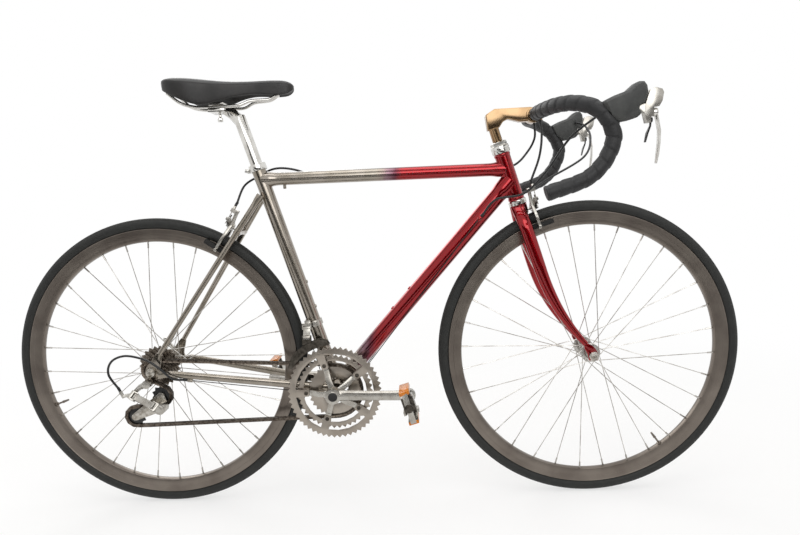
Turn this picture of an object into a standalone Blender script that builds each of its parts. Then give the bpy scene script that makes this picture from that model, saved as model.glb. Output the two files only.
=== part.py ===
"""Road bicycle with drop handlebars, three chainrings and eight sprockets, at real size.

+X is forward, +Y is the rider's left and +Z is up. The origin is on the ground, midway between
the two axles, and the drive side faces -Y. Lengths are in metres, angles in degrees.
"""
import math

import bmesh
import bpy
from mathutils import Matrix, Vector

X_AXIS = Vector((1, 0, 0))
Y_AXIS = Vector((0, 1, 0))
Z_AXIS = Vector((0, 0, 1))
RIGHT = -1
LEFT = 1
SIDES = {RIGHT: "right", LEFT: "left"}

# Clearances
SEAT_GAP = 0.0003
TURN_GAP = 0.0008

# Frame geometry
WHEELBASE = 0.984
RIM_OUTER_R = 0.3165
RIM_DEPTH = 0.0300
TYRE_HEIGHT = 0.0235
TYRE_RADIUS = RIM_OUTER_R + TYRE_HEIGHT
CHAINSTAY_LENGTH = RIM_OUTER_R + 0.0945
BB_DROP = 0.0675
SEAT_ANGLE = 73.5
HEAD_ANGLE = 73.0
FORK_RAKE = 0.0455
TOP_TUBE_HEIGHT = 0.756
SEAT_TUBE_ABOVE = 0.0323
HEAD_TUBE_ABOVE = 0.0352
HEAD_TUBE_RISE = RIM_OUTER_R + 0.0473

# Frame tubes
SEAT_TUBE_R = 0.0159
TOP_TUBE_R = 0.0143
DOWN_TUBE_R = 0.0184
HEAD_TUBE_R = 0.0171
HEAD_TUBE_BORE_R = 0.0150
BB_SHELL_R = 0.0200
BB_SHELL_LENGTH = 0.068
BB_CUP_R = 0.0215
BB_CUP_LENGTH = 0.0035
SPINDLE_R = 0.0085
SEATSTAY_R = 0.0072
SEATSTAY_TIP_R = 0.0055
CHAINSTAY_HALF_WIDTH = 0.0068
CHAINSTAY_HALF_HEIGHT = 0.0100
CHAINSTAY_TIP_HALF_HEIGHT = 0.0075
BRIDGE_R = 0.0065
CHAINSTAY_BRIDGE_R = 0.0050
REAR_SPACING = 0.130
DROPOUT_THICKNESS = 0.006
BOTTLE_BOSS_R = 0.0042
BOTTLE_BOSS_HEIGHT = 0.0016
BOTTLE_BOSS_PITCH = 0.0600
CABLE_STOP_R = 0.0044
CABLE_STOP_LENGTH = 0.011

# Fork and headset
STEERER_R = 0.0127
QUILL_R = 0.0111
FORK_TIP_THICKNESS = 0.006
FRONT_SPACING = 0.100
HEADSET_R = 0.0205
LOWER_STACK = 0.0120
UPPER_CUP_HEIGHT = 0.0180
LOCKNUT_HEIGHT = 0.0098

# Seat
SEATPOST_R = 0.0136
SEATPOST_EXPOSED = 0.1140
SEATPOST_INSERTED = 0.1000
SEATPOST_DROP_RANGE = 0.0800
COLLAR_R = 0.0195
COLLAR_HEIGHT = 0.0150
RAIL_R = 0.0035
RAIL_SPREAD = 0.022

# Stem and bar
STEM_REACH = 0.0928
STEM_ABOVE = 0.0828
STEM_HALF_WIDTH = 0.0125
BAR_CLAMP_R = 0.0165
BAR_CLAMP_HALF_WIDTH = 0.0200
BAR_R = 0.0120
BAR_HALF_WIDTH = 0.210
BAR_BARE_HALF = 0.034
TAPE_R = 0.0152
BAR_PLUG_LENGTH = 0.0050

# Wheels
TYRE_WIDTH = 0.027
RIM_INNER_R = RIM_OUTER_R - RIM_DEPTH
RIM_HALF_WIDTH = 0.0100
WHEEL_SEGMENTS = 32
SPOKE_COUNT = 32
SPOKE_CROSSES = 3
SPOKE_R = 0.0012
AXLE_R = 0.0048
CAM_BOSS_R = 0.0080
CAM_BOSS_LENGTH = 0.0107
FRONT_FLANGE_R = 0.0215
FRONT_FLANGE_Y = 0.0320
FRONT_BARREL_R = 0.0125
REAR_FLANGE_R = 0.0245
REAR_LEFT_FLANGE_Y = 0.0350
REAR_RIGHT_FLANGE_Y = 0.0190
REAR_BARREL_R = 0.0150
VALVE_LENGTH = 0.032

# Drivetrain
CHAIN_PITCH = 0.0127
ROLLER_R = 0.0038
TOOTH_HEIGHT = 0.0020
PULLEY_TOOTH_HEIGHT = 0.0008
CHAIN_PLATE_Y = 0.0018
CHAIN_HALF_WIDTH = 0.0033
CHAIN_HALF_HEIGHT = 0.0040
CRANK_LENGTH = 0.170
RING_TEETH = (52, 42, 30)
RING_PLANES = (0.0505, 0.0445, 0.0375)
RING_THICKNESS = 0.0018
BOLT_CIRCLE_R = 0.065
SMALL_BOLT_CIRCLE_R = 0.037
SPROCKET_TEETH = (12, 13, 14, 15, 17, 19, 21, 23)
SPROCKET_OUTER_PLANE = 0.0590
SPROCKET_PITCH = 0.0048
SPROCKET_THICKNESS = 0.0016
PULLEY_TEETH = 11
PULLEY_SPACING = 0.0789
CRANK_OUTER_Y = 0.0970
PEDAL_INNER_Y = 0.1120
PEDAL_LENGTH = 0.0620

# Places on the frame
DOWN_TUBE_RISE = 0.0451
SEATSTAY_TOP_DROP = 0.0680
SEATSTAY_TOP_BACK = -0.0120
SEATSTAY_TOP_Y = 0.0170
SEATSTAY_TIP_X = 0.0220
SEATSTAY_TIP_Y = 0.0690
SEATSTAY_TIP_Z = 0.0400
CHAINSTAY_ROOT_Y = 0.0220
CHAINSTAY_TIP_X = 0.0370
CHAINSTAY_TIP_Y = 0.0660
CHAINSTAY_TIP_Z = -0.0070
CHAINSTAY_BRIDGE_SHARE = 0.1155
BRAKE_BRIDGE_DROP = 0.1004
HANGER_X = -0.0080
HANGER_Z = -0.0245
HANGER_BOLT_R = 0.0048
SEAT_BOSS_RISE = 0.1947
DOWN_BOSS_RISE = 0.2255
DOWN_STOP_RISE = 0.5070
STOP_STANDOFF = 0.0030
PUMP_PEG_FORWARD = 0.0500
TOP_STOP_FRONT = 0.1000
TOP_STOP_REAR = 0.1330
REAR_STOP_SHARE = 0.8740
REAR_STOP_DROP = 0.0110
HOUSING_R = 0.0025
SQUARE_RUN = 0.0060
WIRE_R = 0.0010

# Fork blades: share of the drop, distance from the middle, half width and half depth
FORK_STATIONS = ((0.028, 0.0110, 0.0085, 0.0150), (0.075, 0.0245, 0.0100, 0.0150),
                 (0.13, 0.0315, 0.0100, 0.0147),
                 (0.40, 0.0400, 0.0095, 0.0138), (0.60, 0.0445, 0.0085, 0.0120),
                 (0.76, 0.0485, 0.0072, 0.0095),
                 (0.87, 0.0510, 0.0062, 0.0078), (0.955, 0.0530, 0.0055, 0.0065))
FORK_BEND_START = 0.40
FORK_BLADE_SETBACK = 0.0040
CROWN_DEPTH = 0.0230

# Brakes
BRAKE_BOLT_R = 0.0030
BRAKE_CAP_LENGTH = 0.0060
BRAKE_LAYER = 0.0060
BRAKE_BOLT_LENGTH = 0.0360
FRONT_BOLT_LENGTH = 0.0410
FRONT_BRAKE_DROP = 0.0165
RIM_TRACK_DROP = 0.0080
PAD_CLEARANCE = 0.0022
PAD_THICKNESS = 0.0095
PAD_LENGTH = 0.0500
PAD_FORWARD = 0.0060
WIRE_CLAMP_SIDE = 0.0408
WIRE_CLAMP_RISE = 0.0192
WIRE_CLAMP_R = 0.0036
BARREL_TOP = 0.0520
BARREL_SIDE = 0.0340
WIRE_FORWARD = 0.0014

# Seat
CLAMP_SETBACK = 0.0422
CLAMP_RISE = 0.0202
CRADLE_DROP = -0.0073
RAIL_NOSE_Z = 0.0222
RAIL_REAR_Z = 0.0315
SEAT_BORE_DEPTH = SEATPOST_INSERTED + SEATPOST_DROP_RANGE + 0.004

# Saddle stations: x, half width, then the heights of crown, shoulder, skirt and underside
SADDLE_STATIONS = ((-0.1100, 0.0400, 0.0520, 0.0480, 0.0400, 0.0420),
                   (-0.1040, 0.0580, 0.0625, 0.0520, 0.0340, 0.0380),
                   (-0.0800, 0.0715, 0.0640, 0.0480, 0.0220, 0.0360),
                   (-0.0500, 0.0720, 0.0620, 0.0440, 0.0060, 0.0340),
                   (-0.0230, 0.0640, 0.0590, 0.0400, -0.0010, 0.0330),
                   (0.0050, 0.0500, 0.0560, 0.0400, 0.0060, 0.0320),
                   (0.0400, 0.0340, 0.0531, 0.0400, 0.0180, 0.0300),
                   (0.0800, 0.0235, 0.0530, 0.0420, 0.0240, 0.0300),
                   (0.1200, 0.0205, 0.0535, 0.0420, 0.0200, 0.0260),
                   (0.1500, 0.0190, 0.0520, 0.0400, 0.0200, 0.0240),
                   (0.1645, 0.0125, 0.0455, 0.0380, 0.0260, 0.0280),
                   (0.1690, 0.0060, 0.0410, 0.0370, 0.0320, 0.0330))

# Stem and levers
QUILL_LENGTH = 0.1200
LEVER_PIVOT_X = 0.1572
LEVER_PIVOT_Z = -0.0205
LEVER_HALF_WIDTH = 0.0085
HOOD_HALF_WIDTH = 0.0165
BLADE_AXIS_Z = -0.0070
PADDLE_AXIS_Z = -0.0205

# Hubs and axles
FLANGE_THICKNESS = 0.0032
SPOKE_FACE_OFFSET = 0.0018
LOCKNUT_LENGTH = 0.0060
FRONT_VALVE_ANGLE = 306.0
REAR_VALVE_ANGLE = 199.0
FRONT_LEVER_ANGLE = 112.0
REAR_LEVER_ANGLE = 128.0

# Chain wheels, cranks and pedals
ROLLER_CORNERS = ((1, 0), (0, 1), (-1, 0), (0, -1))
CHAIN_RUN_STEP = 6
RING_BAND = (0.0160, 0.0125)
TAB_HALF_WIDTH = 0.0075
SPIDER_ANGLE = 36.0
SPIDER_HALF_WIDTH = 0.0062
CRANK_ANGLE = 1.0
CRANK_BOSS_Y = 0.0710
PEDAL_TILT = -74.0
PEDAL_HALF_REACH = 0.0360
PEDAL_SPINDLE_R = 0.0045
CASSETTE_FRONT = 0.0030
CASSETTE_BACK = 0.0012

# Rear and front mechanisms
GUIDE_X = 0.0138
GUIDE_Z = -0.0584
CAGE_ANGLE = 216.6
CAGE_PIVOT_X = 0.0185
CAGE_PIVOT_Z = -0.0809
CAGE_HALF_GAP = 0.0060
CAGE_PLATE = 0.0015
PULLEY_PIN_R = 0.0028
MECH_SLOPE = 32.0
MECH_SLANT = 38.5
MECH_REST = 17.0
MECH_PIN_Y = 0.0905
MECH_LINK = 0.0500
MECH_LINK_PITCH = 0.0150
MECH_LINK_HEIGHT = 0.0140
EAR_MARGIN = 0.0046
EAR_THICKNESS = 0.0022
ADJUSTER_X = -0.0715
ADJUSTER_Y = 0.0780
ADJUSTER_Z = -0.0400
FRONT_MECH_RISE = 0.1580
FD_PIN_LENGTH = 0.0160
FD_INNER_PLATE = (0.0322, 0.0332)
FD_OUTER_PLATE = (0.0462, 0.0472)

# Directions and points that everything else hangs from
SEAT_DIR = Vector((-math.cos(math.radians(SEAT_ANGLE)), 0, math.sin(math.radians(SEAT_ANGLE))))
STEER_DIR = Vector((-math.cos(math.radians(HEAD_ANGLE)), 0, math.sin(math.radians(HEAD_ANGLE))))
STEER_FRONT = Vector((STEER_DIR.z, 0, -STEER_DIR.x))
SEAT_REAR = Vector((-SEAT_DIR.z, 0, SEAT_DIR.x))
REAR_HUB = Vector((-WHEELBASE / 2, 0, TYRE_RADIUS))
FRONT_HUB = Vector((WHEELBASE / 2, 0, TYRE_RADIUS))
BB = Vector((REAR_HUB.x + math.sqrt(CHAINSTAY_LENGTH ** 2 - BB_DROP ** 2), 0, TYRE_RADIUS - BB_DROP))
STEER_FOOT = Vector((FRONT_HUB.x - FORK_RAKE / STEER_DIR.z, 0, TYRE_RADIUS))
HEAD_LOW = STEER_FOOT + STEER_DIR * HEAD_TUBE_RISE
TOP_AT_SEAT = BB + SEAT_DIR * ((TOP_TUBE_HEIGHT - BB.z) / SEAT_DIR.z)
TOP_AT_HEAD = STEER_FOOT + STEER_DIR * ((TOP_TUBE_HEIGHT - STEER_FOOT.z) / STEER_DIR.z)
SEAT_TOP = TOP_AT_SEAT + SEAT_DIR * SEAT_TUBE_ABOVE
HEAD_HIGH = TOP_AT_HEAD + STEER_DIR * HEAD_TUBE_ABOVE
STEM_FOOT = HEAD_HIGH + STEER_DIR * STEM_ABOVE
BAR_CENTRE = STEM_FOOT + X_AXIS * STEM_REACH


def clear_scene():
    """Remove whatever the file holds, so that only the bicycle is left."""
    for item in list(bpy.data.objects):
        bpy.data.objects.remove(item, do_unlink=True)
    for mesh in list(bpy.data.meshes):
        bpy.data.meshes.remove(mesh)


def pitch_radius(teeth):
    """Radius of the circle through the chain's pins on a toothed wheel."""
    return CHAIN_PITCH / (2 * math.sin(math.pi / teeth))


def at(point, x=0.0, y=0.0, z=0.0):
    """A point moved by plain distances."""
    return point + Vector((x, y, z))


def mix(first, second, share):
    """The point that lies the given share of the way between two points."""
    return first + (second - first) * share


def outer_radius(radius, sides):
    """Corner radius of a regular polygon whose flats clear a circle of the given radius."""
    return radius / math.cos(math.pi / sides)


def axis_matrix(centre, axis):
    """Places local Z along an axis through a centre."""
    return Matrix.Translation(centre) @ axis.to_track_quat("Z", "Y").to_matrix().to_4x4()


def revolve(profile, segments, centre, axis):
    """Spin a closed profile of (along, radius) points about an axis."""
    shape = bmesh.new()
    ring = [shape.verts.new((radius, 0, along)) for along, radius in profile]
    edges = [shape.edges.new((a, b)) for a, b in zip(ring, ring[1:] + ring[:1])
             if a.co.x > 1e-7 or b.co.x > 1e-7]
    bmesh.ops.spin(shape, geom=ring + edges, cent=(0, 0, 0), axis=(0, 0, 1),
                   angle=math.tau, steps=segments, use_merge=True)
    bmesh.ops.remove_doubles(shape, verts=shape.verts, dist=1e-6)
    bmesh.ops.transform(shape, matrix=axis_matrix(centre, axis), verts=shape.verts)
    bmesh.ops.recalc_face_normals(shape, faces=shape.faces)
    return shape


def cylinder(start, end, radius, sides=16, end_radius=None):
    """A round bar, or a cone where the end has its own radius."""
    shape = bmesh.new()
    length = (end - start).length
    bmesh.ops.create_cone(shape, cap_ends=True, segments=sides, radius1=radius,
                          radius2=radius if end_radius is None else end_radius, depth=length)
    bmesh.ops.transform(shape, matrix=axis_matrix((start + end) / 2, end - start), verts=shape.verts)
    return shape


def loft(points, halves, sides, across):
    """Bridge oval rings along a path; halves are (half width along across, half height)."""
    shape = bmesh.new()
    rings = []
    side = across
    for index, point in enumerate(points):
        ahead = points[min(index + 1, len(points) - 1)]
        behind = points[max(index - 1, 0)]
        along = (ahead - behind).normalized()
        side = (side - along * side.dot(along)).normalized()
        up = along.cross(side)
        wide, high = halves[index]
        rings.append([shape.verts.new(point + side * (wide * math.cos(turn)) + up * (high * math.sin(turn)))
                      for turn in (math.tau * step / sides for step in range(sides))])
    for ring, following in zip(rings, rings[1:]):
        for step in range(sides):
            after = (step + 1) % sides
            shape.faces.new((ring[step], ring[after], following[after], following[step]))
    shape.faces.new(rings[0])
    shape.faces.new(rings[-1])
    bmesh.ops.recalc_face_normals(shape, faces=shape.faces)
    return shape


def tube(points, radius, sides=10, across=Y_AXIS):
    """A round tube of constant radius along a path."""
    return loft(points, [(radius, radius)] * len(points), sides, across)


def prism(points, push):
    """Extrude a flat outline by a vector into a closed solid."""
    shape = bmesh.new()
    face = shape.faces.new([shape.verts.new(point) for point in points])
    pulled = bmesh.ops.extrude_face_region(shape, geom=[face])["geom"]
    moved = [item for item in pulled if isinstance(item, bmesh.types.BMVert)]
    bmesh.ops.translate(shape, verts=moved, vec=push)
    bmesh.ops.recalc_face_normals(shape, faces=shape.faces)
    return shape


def side_plate(outline, centre, inner_y, outer_y):
    """Extrude an (x, z) outline, measured from a centre, between two planes of constant y."""
    points = [Vector((centre.x + x, inner_y, centre.z + z)) for x, z in outline]
    return prism(points, Y_AXIS * (outer_y - inner_y))


def block(centre, size, turn=0.0, axis=Y_AXIS):
    """A box of full size along x, y and z, turned about an axis through its centre."""
    shape = bmesh.new()
    bmesh.ops.create_cube(shape, size=1.0)
    bmesh.ops.scale(shape, vec=Vector(size), verts=shape.verts)
    place = Matrix.Translation(centre) @ Matrix.Rotation(math.radians(turn), 4, axis)
    bmesh.ops.transform(shape, matrix=place, verts=shape.verts)
    return shape


def soften(shape, width, angle=40.0, segments=1):
    """Bevel the outer edges of a shape that are sharper than an angle."""
    sharp = [edge for edge in shape.edges if len(edge.link_faces) == 2 and edge.is_convex
             and edge.calc_face_angle(0.0) > math.radians(angle)]
    bmesh.ops.bevel(shape, geom=sharp, offset=width, offset_type="OFFSET", segments=segments,
                    profile=0.5, affect="EDGES", clamp_overlap=True)
    return shape


def arc(centre_x, centre_z, radius, start, end, steps):
    """Points of an arc in the (x, z) plane, from one angle to another."""
    return [(centre_x + radius * math.cos(math.radians(start + (end - start) * step / steps)),
             centre_z + radius * math.sin(math.radians(start + (end - start) * step / steps)))
            for step in range(steps + 1)]


def smooth_path(points, steps):
    """A curve through hand-chosen points, with a number of steps between each pair."""
    path = []
    count = len(points)
    for index in range(count - 1):
        before = points[max(index - 1, 0)]
        start = points[index]
        end = points[index + 1]
        after = points[min(index + 2, count - 1)]
        for step in range(steps):
            t = step / steps
            path.append(0.5 * (2 * start + (end - before) * t
                               + (2 * before - 5 * start + 4 * end - after) * t * t
                               + (3 * start - before - 3 * end + after) * t * t * t))
    path.append(points[-1])
    return path


def stand_in(name, shape):
    """Turn a shape into an object."""
    mesh = bpy.data.meshes.new(name)
    shape.to_mesh(mesh)
    shape.free()
    item = bpy.data.objects.new(name, mesh)
    bpy.context.scene.collection.objects.link(item)
    return item


def combine(name, shapes, cuts=()):
    """Join overlapping closed shapes into one solid and take the cutters away from it."""
    base = stand_in(name, shapes[0])
    helpers = []
    for operation, group in (("UNION", shapes[1:]), ("DIFFERENCE", cuts)):
        for shape in group:
            helper = stand_in("helper", shape)
            helpers.append(helper)
            modifier = base.modifiers.new(operation.lower(), "BOOLEAN")
            modifier.operation = operation
            modifier.solver = "EXACT"
            modifier.object = helper
    if helpers:
        bpy.context.view_layer.update()
        evaluated = base.evaluated_get(bpy.context.evaluated_depsgraph_get())
        mesh = bpy.data.meshes.new_from_object(evaluated)
        base.modifiers.clear()
        base.data = mesh
        for helper in helpers:
            bpy.data.objects.remove(helper, do_unlink=True)
        tidy = bmesh.new()
        tidy.from_mesh(mesh)
        bmesh.ops.remove_doubles(tidy, verts=tidy.verts, dist=3e-6)
        bmesh.ops.dissolve_degenerate(tidy, edges=tidy.edges, dist=2e-6)
        bmesh.ops.dissolve_limit(tidy, angle_limit=math.radians(0.05), verts=tidy.verts, edges=tidy.edges)
        tidy.to_mesh(mesh)
        tidy.free()
    return base


def finish(item, colour, roughness, metallic, origin=None):
    """Give a piece its material and shading, and put its origin on its joint's axis."""
    material = bpy.data.materials.new(item.name)
    material.use_nodes = True
    shader = material.node_tree.nodes["Principled BSDF"]
    shader.inputs["Base Color"].default_value = (*[channel / 255 for channel in colour], 1.0)
    shader.inputs["Roughness"].default_value = roughness
    shader.inputs["Metallic"].default_value = metallic
    item.data.materials.clear()
    item.data.materials.append(material)
    item.data.shade_smooth()
    item.data.set_sharp_from_angle(angle=math.radians(35))
    if origin is not None:
        item.data.transform(Matrix.Translation(-origin))
        item.location = origin
    return item


SILVER = (190, 192, 194)
BRUSHED = (150, 154, 160)
STEEL = (110, 112, 116)
RED = (150, 18, 24)
BLACK = (22, 22, 24)


def gear_outline(teeth, phase, height=TOOTH_HEIGHT):
    """Tooth outline of a chain wheel: a root point under each roller and a tip between them."""
    root = pitch_radius(teeth) - ROLLER_R - SEAT_GAP
    tip = pitch_radius(teeth) + height
    outline = []
    for tooth in range(teeth):
        for radius, share in ((root, tooth), (tip, tooth + 0.5)):
            turn = phase + math.tau * share / teeth
            outline.append((radius * math.cos(turn), radius * math.sin(turn)))
    return outline


def dropout_y():
    """The y of the inner face of the rear dropouts."""
    return REAR_SPACING / 2


def build_frame():
    """Main triangle, stays, dropouts, bridges and braze-ons as one brazed solid with its bores."""
    shell = BB_SHELL_LENGTH / 2
    down_at_head = HEAD_LOW + STEER_DIR * DOWN_TUBE_RISE
    shapes = [
        cylinder(at(BB, y=-shell), at(BB, y=shell), BB_SHELL_R, 14),
        cylinder(at(BB, y=-shell - BB_CUP_LENGTH), at(BB, y=shell + BB_CUP_LENGTH), BB_CUP_R - 0.003, 12),
        cylinder(BB, SEAT_TOP, SEAT_TUBE_R, 14),
        cylinder(HEAD_LOW, HEAD_HIGH, HEAD_TUBE_R, 14),
        cylinder(TOP_AT_SEAT, TOP_AT_HEAD, TOP_TUBE_R, 12),
        cylinder(BB, down_at_head, DOWN_TUBE_R, 14),
    ]
    for side in (RIGHT, LEFT):
        shapes += stay_shapes(side)
    brake_seat = brake_bridge_point()
    half_bridge = seatstay_point(BRAKE_BRIDGE_DROP, LEFT).y
    shapes.append(cylinder(at(brake_seat, y=-half_bridge), at(brake_seat, y=half_bridge), BRIDGE_R, 8))
    stay_bridge = chainstay_point(CHAINSTAY_BRIDGE_SHARE, LEFT)
    shapes.append(cylinder(Vector((stay_bridge.x, -stay_bridge.y, stay_bridge.z)), stay_bridge,
                           CHAINSTAY_BRIDGE_R, 8))
    shapes += braze_on_shapes(brake_seat)
    sides = 14
    bore = outer_radius(SEATPOST_R + SEAT_GAP, sides)
    wire_bore = outer_radius(WIRE_R + SEAT_GAP, 6)
    cuts = [
        cylinder(SEAT_TOP - SEAT_DIR * SEAT_BORE_DEPTH, SEAT_TOP + SEAT_DIR * 0.01, bore, sides),
        cylinder(HEAD_LOW - STEER_DIR * 0.01, HEAD_HIGH + STEER_DIR * 0.01, HEAD_TUBE_BORE_R, 12),
        cylinder(at(BB, y=-0.06), at(BB, y=0.06), outer_radius(SPINDLE_R + TURN_GAP, 12), 12),
    ]
    for side in (RIGHT, LEFT):
        cuts.append(axle_slot(REAR_HUB, side, dropout_y(), DROPOUT_THICKNESS, Vector((0.45, 0, -1))))
        reach = down_tube_dir() * CABLE_STOP_LENGTH
        cuts.append(cylinder(down_stop(side) - reach, down_stop(side) + reach, wire_bore, 6))
    for stop in (top_stop(-TOP_STOP_FRONT, TOP_AT_HEAD), top_stop(TOP_STOP_REAR, TOP_AT_SEAT)):
        cuts.append(cylinder(at(stop, x=-CABLE_STOP_LENGTH), at(stop, x=CABLE_STOP_LENGTH), wire_bore, 6))
    stop, lean = chainstay_stop()
    cuts.append(cylinder(stop - lean * CABLE_STOP_LENGTH, stop + lean * CABLE_STOP_LENGTH, wire_bore, 6))
    hanger = hanger_point()
    cuts.append(cylinder(at(hanger, y=-0.09), at(hanger, y=-0.05),
                         outer_radius(HANGER_BOLT_R + SEAT_GAP, 8), 8))
    return finish(combine("frame", shapes, cuts), RED, 0.3, 0.9)


def seatstay_point(drop, side):
    """Point on a seatstay's centre line, a distance down from its top end."""
    top = SEAT_TOP - SEAT_DIR * SEATSTAY_TOP_DROP + Vector((SEATSTAY_TOP_BACK, side * SEATSTAY_TOP_Y, 0))
    tip = REAR_HUB + Vector((SEATSTAY_TIP_X, side * SEATSTAY_TIP_Y, SEATSTAY_TIP_Z))
    return top + (tip - top).normalized() * drop


def seatstay_length():
    """Length of a seatstay's centre line."""
    top = seatstay_point(0.0, LEFT)
    tip = REAR_HUB + Vector((SEATSTAY_TIP_X, SEATSTAY_TIP_Y, SEATSTAY_TIP_Z))
    return (tip - top).length


def chainstay_point(share, side):
    """Point on a chainstay's centre line, as a share of the way from the shell to the tip."""
    root = at(BB, x=-0.010, y=side * CHAINSTAY_ROOT_Y, z=0.002)
    tip = REAR_HUB + Vector((CHAINSTAY_TIP_X, side * CHAINSTAY_TIP_Y, CHAINSTAY_TIP_Z))
    return mix(root, tip, share)


def brake_bridge_point():
    """Centre of the bridge that carries the rear brake."""
    point = seatstay_point(BRAKE_BRIDGE_DROP, LEFT)
    return Vector((point.x, 0, point.z))


def hanger_point():
    """Centre of the threaded eye that carries the rear mechanism."""
    return at(REAR_HUB, x=HANGER_X, z=HANGER_Z)


def stay_shapes(side):
    """Chainstay, seatstay and dropout of one side."""
    chain_points = [chainstay_point(share, side) for share in (0.0, 0.70, 1.0)]
    chain_halves = [(CHAINSTAY_HALF_WIDTH, CHAINSTAY_HALF_HEIGHT), (0.0062, 0.0090),
                    (0.0050, CHAINSTAY_TIP_HALF_HEIGHT)]
    length = seatstay_length()
    seat_points = [seatstay_point(length * share, side) for share in (0.0, 0.5, 1.0)]
    seat_halves = [(SEATSTAY_R, SEATSTAY_R), (SEATSTAY_R, SEATSTAY_R), (SEATSTAY_TIP_R, SEATSTAY_TIP_R)]
    inner = side * dropout_y()
    outer = side * (dropout_y() + DROPOUT_THICKNESS)
    outline = [(SEATSTAY_TIP_X - 0.006, SEATSTAY_TIP_Z - 0.004),
               (SEATSTAY_TIP_X + 0.008, SEATSTAY_TIP_Z + 0.002),
               (0.016, 0.012), (CHAINSTAY_TIP_X + 0.006, 0.002), (CHAINSTAY_TIP_X + 0.006, -0.012),
               (0.016, -0.013), (0.010, -0.018)]
    if side == RIGHT:
        outline += [(0.003, -0.018), (HANGER_X + 0.009, HANGER_Z - 0.001),
                    (HANGER_X + 0.004, HANGER_Z - 0.009),
                    (HANGER_X - 0.004, HANGER_Z - 0.009), (HANGER_X - 0.009, HANGER_Z)]
    else:
        outline += [(-0.004, -0.018)]
    outline += [(-0.013, -0.010), (-0.014, 0.006), (-0.006, 0.014)]
    shapes = [loft(chain_points, chain_halves, 8, Y_AXIS), loft(seat_points, seat_halves, 8, Y_AXIS),
              side_plate(outline, REAR_HUB, inner, outer)]
    return shapes


def axle_slot(hub, side, inner, thickness, down):
    """Cutter for the slot that an axle drops into."""
    width = AXLE_R + SEAT_GAP
    down = down.normalized()
    across = down.cross(Y_AXIS)
    start = at(hub, y=side * (inner - 0.01)) - down * width
    points = [start + across * width, start - across * width,
              start - across * width + down * 0.05, start + across * width + down * 0.05]
    return prism(points, Y_AXIS * side * (thickness + 0.02))


def braze_on_shapes(brake_seat):
    """Bottle bosses, cable stops, the pump peg and the rear brake's bolt."""
    shapes = []
    seat_front = -SEAT_REAR
    for drop in (0.0, BOTTLE_BOSS_PITCH):
        foot = BB + SEAT_DIR * (SEAT_BOSS_RISE + drop)
        shapes.append(cylinder(foot + seat_front * 0.012,
                               foot + seat_front * (SEAT_TUBE_R + BOTTLE_BOSS_HEIGHT),
                               BOTTLE_BOSS_R, 6))
    down_dir = down_tube_dir()
    down_up = Vector((-down_dir.z, 0, down_dir.x))
    for drop in (0.0, BOTTLE_BOSS_PITCH):
        foot = BB + down_dir * (DOWN_BOSS_RISE + drop)
        shapes.append(cylinder(foot + down_up * 0.012, foot + down_up * (DOWN_TUBE_R + BOTTLE_BOSS_HEIGHT),
                               BOTTLE_BOSS_R, 6))
    for side in (RIGHT, LEFT):
        middle = down_stop(side)
        shapes.append(cylinder(middle - down_dir * CABLE_STOP_LENGTH / 2,
                               middle + down_dir * CABLE_STOP_LENGTH / 2,
                               CABLE_STOP_R, 6))
    peg = at(TOP_AT_SEAT, x=PUMP_PEG_FORWARD)
    shapes.append(cylinder(at(peg, z=-0.008), at(peg, z=-TOP_TUBE_R - 0.0085), 0.0036, 6))
    for middle in (top_stop(-TOP_STOP_FRONT, TOP_AT_HEAD), top_stop(TOP_STOP_REAR, TOP_AT_SEAT)):
        shapes.append(cylinder(at(middle, x=-CABLE_STOP_LENGTH / 2), at(middle, x=CABLE_STOP_LENGTH / 2),
                               CABLE_STOP_R, 6))
    rear, lean = chainstay_stop()
    shapes.append(cylinder(rear - lean * CABLE_STOP_LENGTH / 2, rear + lean * CABLE_STOP_LENGTH / 2,
                           CABLE_STOP_R, 6))
    return shapes + brake_bolt_shapes(brake_seat, rear_brake_axis(), BRAKE_BOLT_LENGTH)


def brake_bolt_shapes(seat, front, bolt_length):
    """A brake's bolt, its spacer behind the arms and its nut in front of them."""
    first, second = brake_layers(bolt_length)
    return [cylinder(seat, seat + front * (bolt_length - 0.001), BRAKE_BOLT_R, 8),
            cylinder(seat, seat + front * (first - SEAT_GAP), 0.0055, 8),
            cylinder(seat + front * (bolt_length - BRAKE_CAP_LENGTH), seat + front * bolt_length, 0.0060,
                     8)]


def rear_brake_axis():
    """Direction in which the rear brake's bolt points, square to the seatstays."""
    stay = (seatstay_point(0.1, LEFT) - seatstay_point(0.0, LEFT))
    stay = Vector((stay.x, 0, stay.z)).normalized()
    return Vector((stay.z, 0, -stay.x))


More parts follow.
